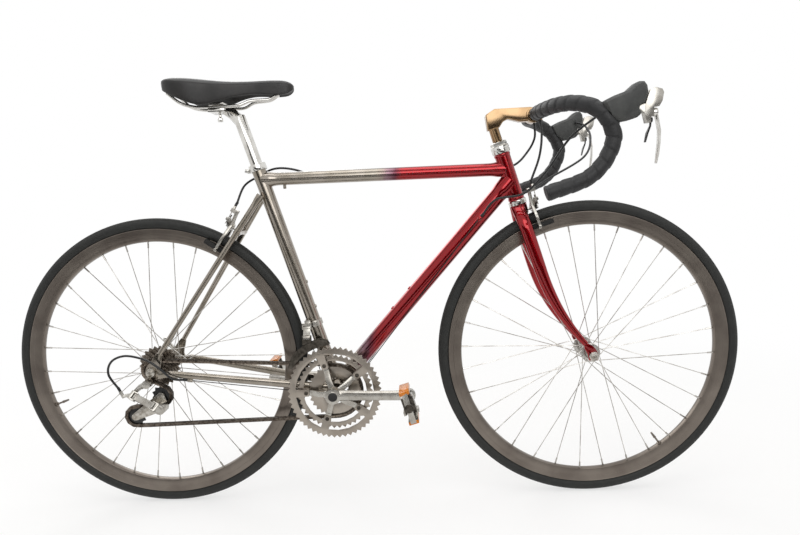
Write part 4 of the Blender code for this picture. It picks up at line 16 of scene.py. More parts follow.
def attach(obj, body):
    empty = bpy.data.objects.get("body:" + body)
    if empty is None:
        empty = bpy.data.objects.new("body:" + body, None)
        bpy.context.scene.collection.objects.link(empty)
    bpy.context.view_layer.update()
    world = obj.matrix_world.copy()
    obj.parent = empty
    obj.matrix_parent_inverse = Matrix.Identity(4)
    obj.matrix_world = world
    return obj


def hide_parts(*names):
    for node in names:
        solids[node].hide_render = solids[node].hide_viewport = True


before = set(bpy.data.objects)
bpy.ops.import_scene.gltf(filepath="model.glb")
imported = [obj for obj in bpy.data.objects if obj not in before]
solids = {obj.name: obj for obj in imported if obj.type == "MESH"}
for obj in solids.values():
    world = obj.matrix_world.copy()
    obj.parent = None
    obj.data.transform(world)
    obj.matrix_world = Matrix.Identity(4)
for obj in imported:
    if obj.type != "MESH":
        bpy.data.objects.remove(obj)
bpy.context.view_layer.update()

# %% [markdown]
# The camera comes first, because every later choice is judged through it. A picture of a
# bicycle from close by needs a wide lens. The place, the direction and the lens below were
# worked out from the wheels' ellipses and the axles, as a surveyor would do it.

# %% Camera
CAMERA_PLACE = Vector((0.1167, -1.3226, 0.7195))
CAMERA_RIGHT = Vector((0.998702, 0.028494, -0.042215))
CAMERA_UP = Vector((0.038104, 0.131958, 0.990523))
CAMERA_BACK = Vector((0.033795, -0.990846, 0.130701))
LENS_MM = 26.363

camera_data = bpy.data.cameras.new("camera")
camera_data.lens = LENS_MM
camera_data.sensor_width = 36.0
camera = bpy.data.objects.new("camera", camera_data)
bpy.context.scene.collection.objects.link(camera)
camera.matrix_world = (Matrix.Translation(CAMERA_PLACE)
                       @ Matrix((CAMERA_RIGHT, CAMERA_UP, CAMERA_BACK)).transposed().to_4x4())
bpy.context.scene.camera = camera
bpy.context.scene.view_settings.view_transform = "Standard"
print("camera:", tuple(round(value, 3) for value in CAMERA_PLACE), "lens:", LENS_MM, "mm")

# %% [markdown]
# Materials are written with two small helpers. Colours are given as the hex values that a
# picture editor shows, and one function turns them to the linear values that light needs.
# The other adds any node with its settings and links, so that a material reads as a list.

# %% Helpers for materials
MM = 0.001


def linear(hex_text):
    """Linear colour of an sRGB hex value."""
    channels = [int(hex_text[start:start + 2], 16) / 255 for start in (1, 3, 5)]
    return (*[c / 12.92 if c <= 0.04045 else ((c + 0.055) / 1.055) ** 2.4 for c in channels], 1.0)


def add_node(tree, kind, settings=None, links=None):
    """Add a node, set its options or sockets by name, and link its sockets to sources."""
    node = tree.nodes.new(kind)
    for name, value in (settings or {}).items():
        if isinstance(name, str) and hasattr(node, name):
            setattr(node, name, value)
        else:
            node.inputs[name].default_value = value
    for name, source in (links or {}).items():
        tree.links.new(source, node.inputs[name])
    return node


def new_finish(name, settings):
    """A material with its Principled shader's plain sockets set, its tree and its coordinates."""
    material = bpy.data.materials.new(name)
    material.use_nodes = True
    tree = material.node_tree
    shader = tree.nodes["Principled BSDF"]
    for socket, value in settings.items():
        shader.inputs[socket].default_value = value
    place = add_node(tree, "ShaderNodeTexCoord").outputs["Object"]
    return material, tree, shader, place


def ramp(tree, source, stops, mode="LINEAR"):
    """Colour ramp through (place, colour) stops."""
    node = add_node(tree, "ShaderNodeValToRGB", None, {"Fac": source})
    node.color_ramp.interpolation = mode
    while len(node.color_ramp.elements) < len(stops):
        node.color_ramp.elements.new(0.5)
    for element, (spot, colour) in zip(node.color_ramp.elements, stops):
        element.position = spot
        element.color = colour
    return node.outputs["Color"]


def spread(tree, source, low, high):
    """Map a 0 to 1 pattern to a range."""
    return add_node(tree, "ShaderNodeMapRange", {"To Min": low, "To Max": high},
                    {"Value": source}).outputs["Result"]


def noise(tree, place, size_mm, detail=3.0, stretch=(1, 1, 1)):
    """Noise whose blotches are about size_mm across, stretched along an axis where asked."""
    scaled = add_node(tree, "ShaderNodeMapping", {"Scale": tuple(1 / (size_mm * MM * s) for s in stretch)},
                      {"Vector": place}).outputs["Vector"]
    return add_node(tree, "ShaderNodeTexNoise", {"Scale": 1.0, "Detail": detail},
                    {"Vector": scaled}).outputs["Fac"]


def relief(tree, shader, source, depth_mm, strength=1.0, under=None):
    """Feed a height pattern of a real depth into the shader's normal."""
    links = {"Height": source}
    if under is not None:
        links["Normal"] = under
    bump = add_node(tree, "ShaderNodeBump", {"Strength": strength, "Distance": depth_mm * MM},
                    links).outputs["Normal"]
    tree.links.new(bump, shader.inputs["Normal"])
    return bump


# %% [markdown]
# Metal surfaces differ in how they were worked. Polished aluminium is bright with faint
# buffing lines, satin aluminium is greyer, and steel that carries oil has dull brown
# patches. One function covers them: two tones that drift over centimetres, a roughness
# that drifts with them, and fine lines. The lines are drawn coarser than life, because
# real buffing marks are too fine to show in the picture.

# %% Metal finishes
def metal_finish(name, light_hex, dark_hex, roughness, drift_mm=18.0, line_mm=0.5, line_depth_mm=0.003,
                 stretch=(1, 1, 12)):
    """A worked metal surface: drifting tone and roughness, with fine lines from its making."""
    material, tree, shader, place = new_finish(name, {"Metallic": 1.0, "Roughness": roughness})
    drift = noise(tree, place, drift_mm)
    tree.links.new(ramp(tree, drift, ((0.32, linear(dark_hex)), (0.62, linear(light_hex)))),
                   shader.inputs["Base Color"])
    tree.links.new(spread(tree, noise(tree, place, drift_mm / 2), roughness * 0.9, roughness * 1.15),
                   shader.inputs["Roughness"])
    relief(tree, shader, noise(tree, place, line_mm, 2.0, stretch), line_depth_mm, 0.35)
    return material


polished_aluminium = metal_finish("polished_aluminium", "#d9d7d2", "#c3c0ba", 0.15)
forged_aluminium = metal_finish("forged_aluminium_clear_anodised", "#b5b2ab", "#9f9a92", 0.27)
grey_anodised = metal_finish("grey_anodised_aluminium", "#7d756d", "#6d655e", 0.3, 60.0, 0.5, 0.004)
ring_aluminium = metal_finish("stamped_ring_aluminium", "#a69e94", "#978e84", 0.3, 40.0, 0.4, 0.004)
oiled_steel = metal_finish("oiled_chain_steel", "#6e655c", "#3c342d", 0.38, 5.0, 0.6, 0.006)
stainless_spoke = metal_finish("stainless_spoke_wire", "#c9c6c1", "#96918a", 0.26, 25.0, 0.3, 0.005)
plated_steel = metal_finish("nickel_plated_steel", "#bcb8b0", "#8a8378", 0.24, 8.0)
dark_steel = metal_finish("dark_steel_hardware", "#5b564f", "#38342f", 0.42, 8.0)
print("metal finishes:", len(bpy.data.materials))

# %% [markdown]
# The frame is bare polished steel at the back and candy red at the front. Candy paint is a
# clear red lacquer over bright metal, so its colour is deep where the eye looks through
# much lacquer, and metallic everywhere. Between the two the painter faded the spray, and
# the thin edge of the fade looks purple to black. The fade is a slanted plane: it crosses
# the top tube further forward than the down tube. A coat gives the hard clear gloss.

# %% Faded candy lacquer on steel
FADE_LINE = Vector((0.064, 0.0, 0.758))
FADE_LEAN = (0.064 + 0.012) / (0.758 - 0.366)
FADE_WIDTH = 0.075


def faded_lacquer(name):
    """Bare steel that turns through a purple haze to candy red towards the front."""
    material, tree, shader, place = new_finish(name, {
        "Metallic": 1.0, "Coat Weight": 0.75, "Coat Roughness": 0.04, "Coat IOR": 1.5})
    split = add_node(tree, "ShaderNodeSeparateXYZ", None, {"Vector": place}).outputs
    lean = add_node(tree, "ShaderNodeMath", {"operation": "MULTIPLY_ADD", 1: -FADE_LEAN,
                                             2: FADE_LEAN * FADE_LINE.z - FADE_LINE.x}, {0: split["Z"]})
    across = add_node(tree, "ShaderNodeMath", {"operation": "ADD"}, {0: split["X"], 1: lean.outputs[0]})
    haze = add_node(tree, "ShaderNodeMath", {"operation": "MULTIPLY_ADD", 1: 0.012, 2: -0.006},
                    {0: noise(tree, place, 9.0)})
    edge = add_node(tree, "ShaderNodeMath", {"operation": "ADD"},
                    {0: across.outputs[0], 1: haze.outputs[0]})
    fade = add_node(tree, "ShaderNodeMapRange", {"From Min": -FADE_WIDTH / 2, "From Max": FADE_WIDTH / 2},
                    {"Value": edge.outputs[0]}).outputs["Result"]
    steel = ramp(tree, noise(tree, place, 35.0), ((0.3, linear("#81796c")), (0.7, linear("#999187"))))
    red = ramp(tree, noise(tree, place, 0.6, 1.0), ((0.35, linear("#86050f")), (0.65, linear("#930711"))))
    haze_colour = ramp(tree, fade, ((0.0, linear("#8d7f70")), (0.38, linear("#7a5c66")),
                                    (0.58, linear("#571428")),
                                    (0.8, linear("#8c0a12"))))
    to_haze = add_node(tree, "ShaderNodeMapRange", {"From Min": 0.0, "From Max": 0.3}, {"Value": fade})
    to_red = add_node(tree, "ShaderNodeMapRange", {"From Min": 0.65, "From Max": 1.0}, {"Value": fade})
    first = add_node(tree, "ShaderNodeMix", {"data_type": "RGBA"},
                     {0: to_haze.outputs[0], 6: steel, 7: haze_colour})
    last = add_node(tree, "ShaderNodeMix", {"data_type": "RGBA"},
                    {0: to_red.outputs[0], 6: first.outputs[2], 7: red})
    tree.links.new(last.outputs[2], shader.inputs["Base Color"])
    scuffs = noise(tree, place, 3.0, 4.0)
    rough = add_node(tree, "ShaderNodeMix", {}, {0: fade, 2: spread(tree, scuffs, 0.17, 0.22),
                                                 3: spread(tree, scuffs, 0.20, 0.23)})
    tree.links.new(rough.outputs[0], shader.inputs["Roughness"])
    relief(tree, shader, noise(tree, place, 30.0, 1.0), 0.02, 0.15)
    return material


candy_fade = faded_lacquer("candy_red_lacquer_faded_on_steel")
print("fade crosses x =", FADE_LINE.x, "at the top tube")

# %% [markdown]
# The bicycle stands on a pale seamless floor under large soft lamps, as in a catalogue
# picture. Polished tubes show what is around them, so the surroundings are part of the
# look: bright above and behind, and a greyer level band that gives each tube its dark
# middle between two bright edges. The camera and clear reflections see plain white.

# %% Floor, surroundings and lamps
def studio_world():
    """White for the camera and for reflections, and a softer graded light for matt surfaces."""
    world = bpy.data.worlds.new("studio")
    world.use_nodes = True
    tree = world.node_tree
    tree.nodes.clear()
    path = add_node(tree, "ShaderNodeLightPath").outputs
    way = add_node(tree, "ShaderNodeTexCoord").outputs["Generated"]
    height = add_node(tree, "ShaderNodeSeparateXYZ", None, {"Vector": way}).outputs["Z"]
    level = add_node(tree, "ShaderNodeMapRange", {"From Min": -1.0, "From Max": 1.0},
                     {"Value": height}).outputs["Result"]
    sky = ramp(tree, level, ((0.0, linear("#8f8d8a")), (0.40, linear("#55524f")), (0.60, linear("#5b5855")),
                             (0.74, linear("#d9d8d6")), (1.0, (1, 1, 1, 1))))
    light = add_node(tree, "ShaderNodeBackground", {"Strength": 0.75}, {"Color": sky})
    white = add_node(tree, "ShaderNodeBackground", {"Strength": 1.0, "Color": (1, 1, 1, 1)})
    seen = add_node(tree, "ShaderNodeMath", {"operation": "MAXIMUM"},
                    {0: path["Is Camera Ray"], 1: path["Is Transmission Ray"]})
    seen = add_node(tree, "ShaderNodeMath", {"operation": "MAXIMUM"},
                    {0: seen.outputs[0], 1: path["Is Glossy Ray"]})
    both = add_node(tree, "ShaderNodeMixShader", None,
                    {0: seen.outputs[0], 1: light.outputs[0], 2: white.outputs[0]})
    out = add_node(tree, "ShaderNodeOutputWorld", None, {"Surface": both.outputs[0]})
    bpy.context.scene.world = world
    return out


def soft_lamp(name, place, target, size, watts):
    """A large rectangular soft box aimed at a point."""
    data = bpy.data.lights.new(name, "AREA")
    data.shape = "RECTANGLE"
    data.size, data.size_y = size
    data.energy = watts
    lamp = bpy.data.objects.new(name, data)
    lamp.location = place
    lamp.rotation_euler = (Vector(target) - Vector(place)).to_track_quat("-Z", "Y").to_euler()
    bpy.context.scene.collection.objects.link(lamp)
    return lamp


def pale_floor():
    """A broad floor that keeps the object's soft shadow and fades to the white background."""
    bpy.ops.mesh.primitive_circle_add(vertices=96, radius=9.0, fill_type="NGON", location=(0, 0, 0))
    floor = bpy.context.active_object
    floor.name = "studio_floor"
    material, tree, shader, place = new_finish("studio_floor", {"Roughness": 0.9})
    tree.links.new(ramp(tree, noise(tree, place, 400.0),
                        ((0.3, linear("#f6f5f3")), (0.7, linear("#f9f8f7")))),
                   shader.inputs["Base Color"])
    away = add_node(tree, "ShaderNodeVectorMath", {"operation": "LENGTH"}, {0: place}).outputs["Value"]
    blend = add_node(tree, "ShaderNodeMapRange",
                     {"From Min": 0.6, "From Max": 2.2, "To Min": 0.62, "To Max": 1.0,
                      "interpolation_type": "SMOOTHSTEP"}, {"Value": away})
    rays = add_node(tree, "ShaderNodeLightPath").outputs
    seen = add_node(tree, "ShaderNodeMath", {"operation": "MAXIMUM"},
                    {0: rays["Is Camera Ray"], 1: rays["Is Glossy Ray"]})
    seen = add_node(tree, "ShaderNodeMath", {"operation": "MAXIMUM"},
                    {0: seen.outputs[0], 1: rays["Is Transmission Ray"]})
    share = add_node(tree, "ShaderNodeMath", {"operation": "MULTIPLY"},
                     {0: blend.outputs[0], 1: seen.outputs[0]})
    white = add_node(tree, "ShaderNodeEmission", {"Color": (1, 1, 1, 1), "Strength": 1.0})
    mixed = add_node(tree, "ShaderNodeMixShader", None,
                     {0: share.outputs[0], 1: shader.outputs[0], 2: white.outputs[0]})
    tree.links.new(mixed.outputs[0], tree.nodes["Material Output"].inputs["Surface"])
    floor.data.materials.append(material)
    return floor


def clean_selection():
    """Leave edit mode and deselect everything."""
    if bpy.context.object and bpy.context.object.mode != "OBJECT":
        bpy.ops.object.mode_set(mode="OBJECT")
    bpy.ops.object.select_all(action="DESELECT")


def dark_card(name, centre, width, height, lean, finish):
    """A dark flag beside the camera that gives bright metal its dark band and edges."""
    clean_selection()
    bpy.ops.mesh.primitive_plane_add(size=1.0, location=centre, rotation=(math.radians(90 + lean), 0, 0))
    card = bpy.context.object
    card.name = name
    card.scale = (width, height, 1)
    card.data.materials.append(finish)
    card.visible_camera = card.visible_diffuse = card.visible_shadow = card.visible_transmission = False
    return card


studio_world()
floor = pale_floor()
soft_lamp("top_soft_box", (0.0, -0.3, 3.2), (0, 0, 0.5), (3.4, 2.4), 46)
soft_lamp("camera_side_soft_box", (0.7, -3.3, 2.0), (0, 0, 0.5), (2.6, 1.8), 34)
soft_lamp("rear_soft_box", (-1.6, 2.8, 2.2), (0, 0, 0.5), (2.6, 1.8), 30)
black_cloth, cloth_tree, cloth_shader, cloth_place = new_finish("black_flag_cloth", {"Roughness": 0.95})
cloth_tree.links.new(ramp(cloth_tree, noise(cloth_tree, cloth_place, 60.0),
                          ((0.3, linear("#1c1b1a")), (0.7, linear("#262422")))),
                     cloth_shader.inputs["Base Color"])
dark_card("middle_flag", (0.1, -2.3, 0.62), 5.2, 0.62, 0, black_cloth)
dark_card("floor_flag", (0.1, -1.5, 0.012), 5.2, 0.8, 90, black_cloth)
dark_card("top_flag", (0.1, -1.2, 2.9), 5.2, 0.55, 60, black_cloth)

# %% [markdown]
# Every new piece is dressed in the same way: it gets its finish, it rides on the body it
# belongs to, and it stands for the plain solids that it covers. Small tools below make the
# shapes that a bicycle needs again and again: a turned part is a profile spun about its
# axle, as on a lathe, and a tube or cable is a circle drawn along a smooth line.

# %% Helpers for pieces
def select_only(piece):
    """Make one object the selected and active one."""
    clean_selection()
    piece.select_set(True)
    bpy.context.view_layer.objects.active = piece


def smooth(piece, degrees=35):
    """Smooth shading that keeps edges sharper than the angle."""
    select_only(piece)
    bpy.ops.object.shade_smooth_by_angle(angle=math.radians(degrees))
    return piece


def outward(piece):
    """Turn all faces outward."""
    select_only(piece)
    bpy.ops.object.mode_set(mode="EDIT")
    bpy.ops.mesh.select_all(action="SELECT")
    bpy.ops.mesh.normals_make_consistent(inside=False)
    bpy.ops.object.mode_set(mode="OBJECT")
    return piece


def mesh_piece(name, vertices, faces):
    """A piece from vertices and faces."""
    mesh = bpy.data.meshes.new(name)
    mesh.from_pydata([tuple(v) for v in vertices], [], faces)
    mesh.update()
    piece = bpy.data.objects.new(name, mesh)
    bpy.context.scene.collection.objects.link(piece)
    return piece


def dress(piece, body, materials, replaces=()):
    """Give a piece its finishes, its body and the solids it stands for."""
    if not isinstance(materials, (list, tuple)):
        materials = [materials]
    piece.data.materials.clear()
    for material in materials:
        piece.data.materials.append(material)
    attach(piece, body)
    if replaces:
        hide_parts(*replaces)
    return piece


def joined(name, pieces):
    """Join pieces into one, keeping the first one's place at the origin."""
    clean_selection()
    for item in pieces:
        item.select_set(True)
    bpy.context.view_layer.objects.active = pieces[0]
    if len(pieces) > 1:
        bpy.ops.object.join()
    piece = bpy.context.view_layer.objects.active
    piece.name = name
    bpy.ops.object.transform_apply(location=True, rotation=True, scale=True)
    return piece


def turned(name, centre, profile, segments=64, axis=(0, 1, 0), closed=True):
    """A profile of (distance along the axis, radius) pairs spun about the axis at a centre."""
    axis = Vector(axis).normalized()
    side = axis.orthogonal().normalized()
    other = axis.cross(side)
    centre = Vector(centre)
    vertices = []
    for along, radius in profile:
        for step in range(segments):
            angle = 2 * math.pi * step / segments
            vertices.append(centre + axis * along
                            + (side * math.cos(angle) + other * math.sin(angle)) * radius)
    rows = len(profile)
    faces = []
    for row in range(rows if closed else rows - 1):
        following = (row + 1) % rows
        for step in range(segments):
            turn = (step + 1) % segments
            faces.append((row * segments + step, row * segments + turn,
                          following * segments + turn, following * segments + step))
    if not closed:
        faces.append(tuple(range(segments)))
        faces.append(tuple((rows - 1) * segments + step for step in reversed(range(segments))))
    return outward(mesh_piece(name, vertices, faces))


def smooth_line(knots, step=0.006):
    """Points along a smooth curve through the knots, about one step apart."""
    knots = [Vector(knot) for knot in knots]
    ends = [knots[0] * 2 - knots[1]] + knots + [knots[-1] * 2 - knots[-2]]
    points = []
    for index in range(1, len(ends) - 2):
        before, start, stop, after = ends[index - 1:index + 3]
        count = max(2, int((stop - start).length / step))
        for part in range(count):
            t = part / count
            points.append(0.5 * ((2 * start) + (stop - before) * t
                                 + (2 * before - 5 * start + 4 * stop - after) * t * t
                                 + (3 * start - before - 3 * stop + after) * t ** 3))
    points.append(knots[-1])
    return points


def swept(name, line, radii, segments=24, flat=None):
    """A round or oval tube along a line; radii is one value or one for each point."""
    line = [Vector(point) for point in line]
    if not hasattr(radii, "__len__"):
        radii = [radii] * len(line)
    tangent = (line[1] - line[0]).normalized()
    side = Vector((0, 1, 0)) - tangent * tangent.y
    if side.length < 0.1:
        side = tangent.orthogonal()
    side.normalize()
    vertices = []
    for index, point in enumerate(line):
        near, far = line[max(index - 1, 0)], line[min(index + 1, len(line) - 1)]
        tangent = (far - near).normalized()
        side = (side - tangent * side.dot(tangent)).normalized()
        other = tangent.cross(side)
        wide = flat[index] if flat else 1.0
        for step in range(segments):
            angle = 2 * math.pi * step / segments
            vertices.append(point + (side * math.cos(angle) * wide + other * math.sin(angle)) * radii[index])
    rows = len(line)
    faces = [(row * segments + step, row * segments + (step + 1) % segments,
              (row + 1) * segments + (step + 1) % segments, (row + 1) * segments + step)
             for row in range(rows - 1) for step in range(segments)]
    faces.append(tuple(range(segments)))
    faces.append(tuple((rows - 1) * segments + step for step in reversed(range(segments))))
    return outward(mesh_piece(name, vertices, faces))


print("helpers ready")

# %% [markdown]
# The black parts differ more in touch than in colour. Tyre rubber is dull with fine rings
# on its wall, lever hoods are soft rubber with a faint sheen, cables sit in smooth plastic,
# the bar is wound with padded tape that has rows of tiny holes, and the saddle is thin
# leather drawn tight, with a fine grain and a slight gloss.

# %% Rubber, plastic, tape and leather
def dull_finish(name, light_hex, dark_hex, roughness, blotch_mm, grain_mm, grain_depth_mm, settings=None):
    """A non-metal surface with drifting tone and a fine raised grain."""
    material, tree, shader, place = new_finish(name, {"Roughness": roughness, **(settings or {})})
    tree.links.new(ramp(tree, noise(tree, place, blotch_mm),
                        ((0.3, linear(dark_hex)), (0.7, linear(light_hex)))),
                   shader.inputs["Base Color"])
    tree.links.new(spread(tree, noise(tree, place, blotch_mm / 4), roughness * 0.85,
                          min(roughness * 1.2, 1.0)),
                   shader.inputs["Roughness"])
    relief(tree, shader, noise(tree, place, grain_mm, 3.0), grain_depth_mm, 0.6)
    return material


def leather_finish(name, light_hex, dark_hex, roughness):
    """Leather: cells of grain with fine creases between them, over a slowly changing tone."""
    material, tree, shader, place = new_finish(name, {"Roughness": roughness, "Specular IOR Level": 0.45})
    tree.links.new(ramp(tree, noise(tree, place, 25.0),
                        ((0.3, linear(dark_hex)), (0.7, linear(light_hex)))),
                   shader.inputs["Base Color"])
    tree.links.new(spread(tree, noise(tree, place, 6.0), roughness * 0.85, roughness * 1.2),
                   shader.inputs["Roughness"])
    scaled = add_node(tree, "ShaderNodeMapping", {"Scale": (700.0, 700.0, 700.0)},
                      {"Vector": place}).outputs["Vector"]
    cells = add_node(tree, "ShaderNodeTexVoronoi", {"feature": "DISTANCE_TO_EDGE", "Scale": 1.0},
                     {"Vector": scaled}).outputs["Distance"]
    relief(tree, shader, spread(tree, cells, 0.0, 1.0), 0.10, 0.5)
    return material


tyre_rubber = dull_finish("tyre_rubber", "#1b1c19", "#0f100e", 0.62, 20.0, 0.6, 0.05)
tread_rubber = dull_finish("tread_rubber", "#22221f", "#141412", 0.78, 12.0, 1.2, 0.15)
hood_rubber = dull_finish("lever_hood_rubber", "#3b3c3a", "#2a2b2a", 0.5, 15.0, 0.5, 0.04)
black_plastic = dull_finish("black_moulded_plastic", "#161616", "#0c0c0c", 0.32, 18.0, 0.5, 0.01)
pad_rubber = dull_finish("brake_pad_rubber", "#1c1b1a", "#121110", 0.75, 6.0, 0.5, 0.05)
bar_tape = leather_finish("padded_bar_tape", "#252526", "#171718", 0.52)
saddle_leather = leather_finish("saddle_leather", "#232120", "#131211", 0.40)
amber_plastic = dull_finish("amber_reflector_plastic", "#e08a1e", "#b8640e", 0.18, 4.0, 1.2, 0.2)
cold_forged = metal_finish("cold_forged_warm_toned_alloy", "#a08565", "#80684c", 0.17, 60.0)
cassette_steel = metal_finish("plated_sprocket_steel", "#8a8177", "#5b5249", 0.34, 20.0, 0.5, 0.006)
print("rubber, plastic, tape and leather ready")

# %% [markdown]
# The tyres are narrow high-pressure ones with a nearly round section: a thick tread in the
# middle and thin walls beside it, which is why the two get separate rubbers. They are spun
# with many steps, because a wheel's outline shows every flat.

# %% Tyres
def v(x, y, z):
    return Vector((x, y, z))


REAR_HUB = v(-0.492, 0, 0.340)
FRONT_HUB = v(0.492, 0, 0.340)
RIM_INNER = 0.2865


def tyre_profile():
    """Half of the round section from the bead over the tread, and the flat inside."""
    section = [(0.0134 * math.sin(math.radians(a)), 0.3266 + 0.0134 * math.cos(math.radians(a)))
               for a in range(-124, 125, 8)]
    return [(-0.0068, 0.3100), (-0.0072, 0.3168)] + section + [(0.0072, 0.3168), (0.0068, 0.3100)]


def add_tyre(name, hub, body):
    """A tyre whose tread faces have their own rubber."""
    tyre = turned(name + "_tyre_full", hub, tyre_profile(), 160)
    dress(tyre, body, [tyre_rubber, tread_rubber], [name + "_tyre"])
    for face in tyre.data.polygons:
        offset = face.center - hub
        face.material_index = 1 if math.hypot(offset.x, offset.z) > 0.3352 else 0
    return smooth(tyre, 40)


for name, hub in (("front", FRONT_HUB), ("rear", REAR_HUB)):
    tyre = add_tyre(name, hub, name + "_wheel_body")
    print(tyre.name, len(tyre.data.polygons), "faces")

# %% [markdown]
# The rims are drawn alloy: a hollow box with hooked edges. The brake pads rub a flat
# track on each side, so the track has lost its grey anodising and shows bright rings.
# A seam pin and the valve are the only breaks in the ring.

# %% Rims
def track_finish():
    """Worn brake track: bright metal with fine rings about the hub."""
    material, tree, shader, place = new_finish("worn_brake_track", {"Metallic": 1.0, "Roughness": 0.33})
    split = add_node(tree, "ShaderNodeSeparateXYZ", None, {"Vector": place}).outputs
    side = add_node(tree, "ShaderNodeMath", {"operation": "ABSOLUTE"}, {0: split["X"]})
    local = add_node(tree, "ShaderNodeMath", {"operation": "SUBTRACT", 1: 0.492}, {0: side.outputs[0]})
    high = add_node(tree, "ShaderNodeMath", {"operation": "SUBTRACT", 1: 0.340}, {0: split["Z"]})
    flat = add_node(tree, "ShaderNodeCombineXYZ", None, {"X": local.outputs[0], "Y": high.outputs[0]})
    radius = add_node(tree, "ShaderNodeVectorMath", {"operation": "LENGTH"},
                      {0: flat.outputs[0]}).outputs["Value"]
    rings = add_node(tree, "ShaderNodeTexNoise", {"noise_dimensions": "1D", "Scale": 2600.0, "Detail": 2.0},
                     {"W": radius})
    tree.links.new(ramp(tree, rings.outputs["Fac"], ((0.3, linear("#736c65")), (0.7, linear("#8f8880")))),
                   shader.inputs["Base Color"])
    relief(tree, shader, rings.outputs["Fac"], 0.01, 0.2)
    return material


brake_track = track_finish()
VALVE_ANGLES = {"front": 306.0, "rear": 199.0}


def rim_profile():
    """Section of the rim: box, bead hooks and the recessed brake track."""
    half = [(-0.0040, 0.2865), (-0.0075, 0.2880), (-0.0094, 0.2935), (-0.0099, 0.3000), (-0.0099, 0.3052),
            (-0.0095, 0.3056), (-0.0095, 0.3150), (-0.0099, 0.3155), (-0.0098, 0.3164), (-0.0080, 0.3165),
            (-0.0078, 0.3096)]
    return half + [(-y, radius) for y, radius in reversed(half)]


def add_rim(name, hub, body):
    """Rim with its worn track and a valve with its cap."""
    rim = turned("rim", hub, rim_profile(), 192)
    turn = math.radians(VALVE_ANGLES[name])
    out = v(math.cos(turn), 0, math.sin(turn))
    valve = turned("valve", hub, [(0.2545, 0.0), (0.2548, 0.0021), (0.2670, 0.0030), (0.2685, 0.0034),
                                  (0.2700, 0.0030),
                                  (0.2705, 0.0022), (0.2835, 0.0022), (0.2840, 0.0052), (0.2868, 0.0052),
                                  (0.2868, 0.0)],
                   14, out, closed=False)
    for face in rim.data.polygons:
        offset = face.center - hub
        face.material_index = 1 if abs(offset.y) > 0.0093 and 0.3054 < math.hypot(offset.x,
                                                                                  offset.z) < 0.3152 else 0
    for face in valve.data.polygons:
        face.material_index = 2 if (face.center - hub).length < 0.2700 else 3
    whole = joined(name + "_rim_full", [rim, valve])
    return dress(smooth(whole, 30), body, [grey_anodised, brake_track, black_plastic, plated_steel],
                 [name + "_rim"])


for name, hub in (("front", FRONT_HUB), ("rear", REAR_HUB)):
    rim = add_rim(name, hub, name + "_wheel_body")
    print(rim.name, len(rim.data.polygons), "faces")

# %% [markdown]
# Each wheel is laced with 32 round wire spokes that cross three others. A spoke starts at
# a bent head in the flange and ends in a small dark nipple in the rim. The hubs are turned
# and polished, with raised flanges and a ring groove near each end.

# %% Hubs and spokes
SPOKES, CROSSES = 32, 3


def strand(start, end, radius, sides=8):
    """A straight round bar."""
    line = end - start
    return turned("strand", start, [(0.0, radius), (line.length, radius)], sides, line, closed=False)


def laced(hub, plane, flange_r, rim_r, side, valve_turn):
    """Half of a wheel's spokes with their nipples and heads."""
    parts = []
    holes = SPOKES // 2
    pitch = math.tau / holes
    for hole in range(holes):
        way = 1 if hole % 2 else -1
        rim_turn = valve_turn + pitch * (hole + 0.25 + 0.5 * side)
        start_turn = rim_turn + way * CROSSES * pitch
        start = hub + v(flange_r * math.cos(start_turn), plane + way * 0.0018,
                        flange_r * math.sin(start_turn))
        end = hub + v(rim_r * math.cos(rim_turn), 0.10 * plane, rim_r * math.sin(rim_turn))
        wire = strand(start, end, 0.00095)
        nipple = strand(end.lerp(start, 0.048), end + (end - start).normalized() * 0.0004, 0.0019)
        head = strand(start - v(0, way * 0.0045, 0), start + v(0, way * 0.0012, 0), 0.0014)
        for face in nipple.data.polygons:
            face.material_index = 1
        parts += [wire, nipple, head]
    return parts


def add_hub(name, hub, body, near, far, flange_r, barrel, ends):
    """Turned hub shell with two flanges, and all its spokes."""
    def flange(at):
        return [(at - 0.0016, barrel + 0.0010), (at - 0.0016, flange_r - 0.0008), (at - 0.0011, flange_r),
                (at + 0.0011, flange_r), (at + 0.0016, flange_r - 0.0008), (at + 0.0016, barrel + 0.0010)]

    low, high = ends
    middle = (near + far) / 2
    profile = ([(low, 0.0058), (low, barrel * 0.70), (low + 0.0015, barrel * 0.78)] + flange(near)
               + [(near + 0.006, barrel), (middle, barrel * 0.86), (far - 0.006, barrel)] + flange(far)
               + [(high - 0.0015, barrel * 0.78), (high, barrel * 0.70), (high, 0.0058)])
    shell = turned("shell", hub, profile, 48)
    turn = math.radians(VALVE_ANGLES[name])
    rim_end = RIM_INNER - 0.0006
    parts = [shell]
    for side, plane in ((0, near), (1, far)):
        parts += laced(hub, plane, flange_r - 0.0026, rim_end, side, turn)
    for face in shell.data.polygons:
        face.material_index = 2
    whole = joined(name + "_hub_laced", parts)
    return dress(smooth(whole, 35), body, [stainless_spoke, dark_steel, polished_aluminium],
                 [name + "_hub"])


front_laced = add_hub("front", FRONT_HUB, "front_wheel_body", -0.0320, 0.0320, 0.0215, 0.0125,
                      (-0.0437, 0.0437))
rear_laced = add_hub("rear", REAR_HUB, "rear_wheel_body", -0.0190, 0.0350, 0.0245, 0.0150,
                     (-0.0239, 0.0587))
print("spoked hubs:", len(front_laced.data.polygons), len(rear_laced.data.polygons), "faces")

# %% [markdown]
# The frame is thin round steel tube, mitred and brazed with smooth fillets in place of
# lugs. Each tube here is a fine round form that swells a little where it meets the next
# one, which is how a filed fillet looks. The stays taper to the dropouts, and the
# chainstays start as tall ovals, because that side is stiff and narrow by the tyre.

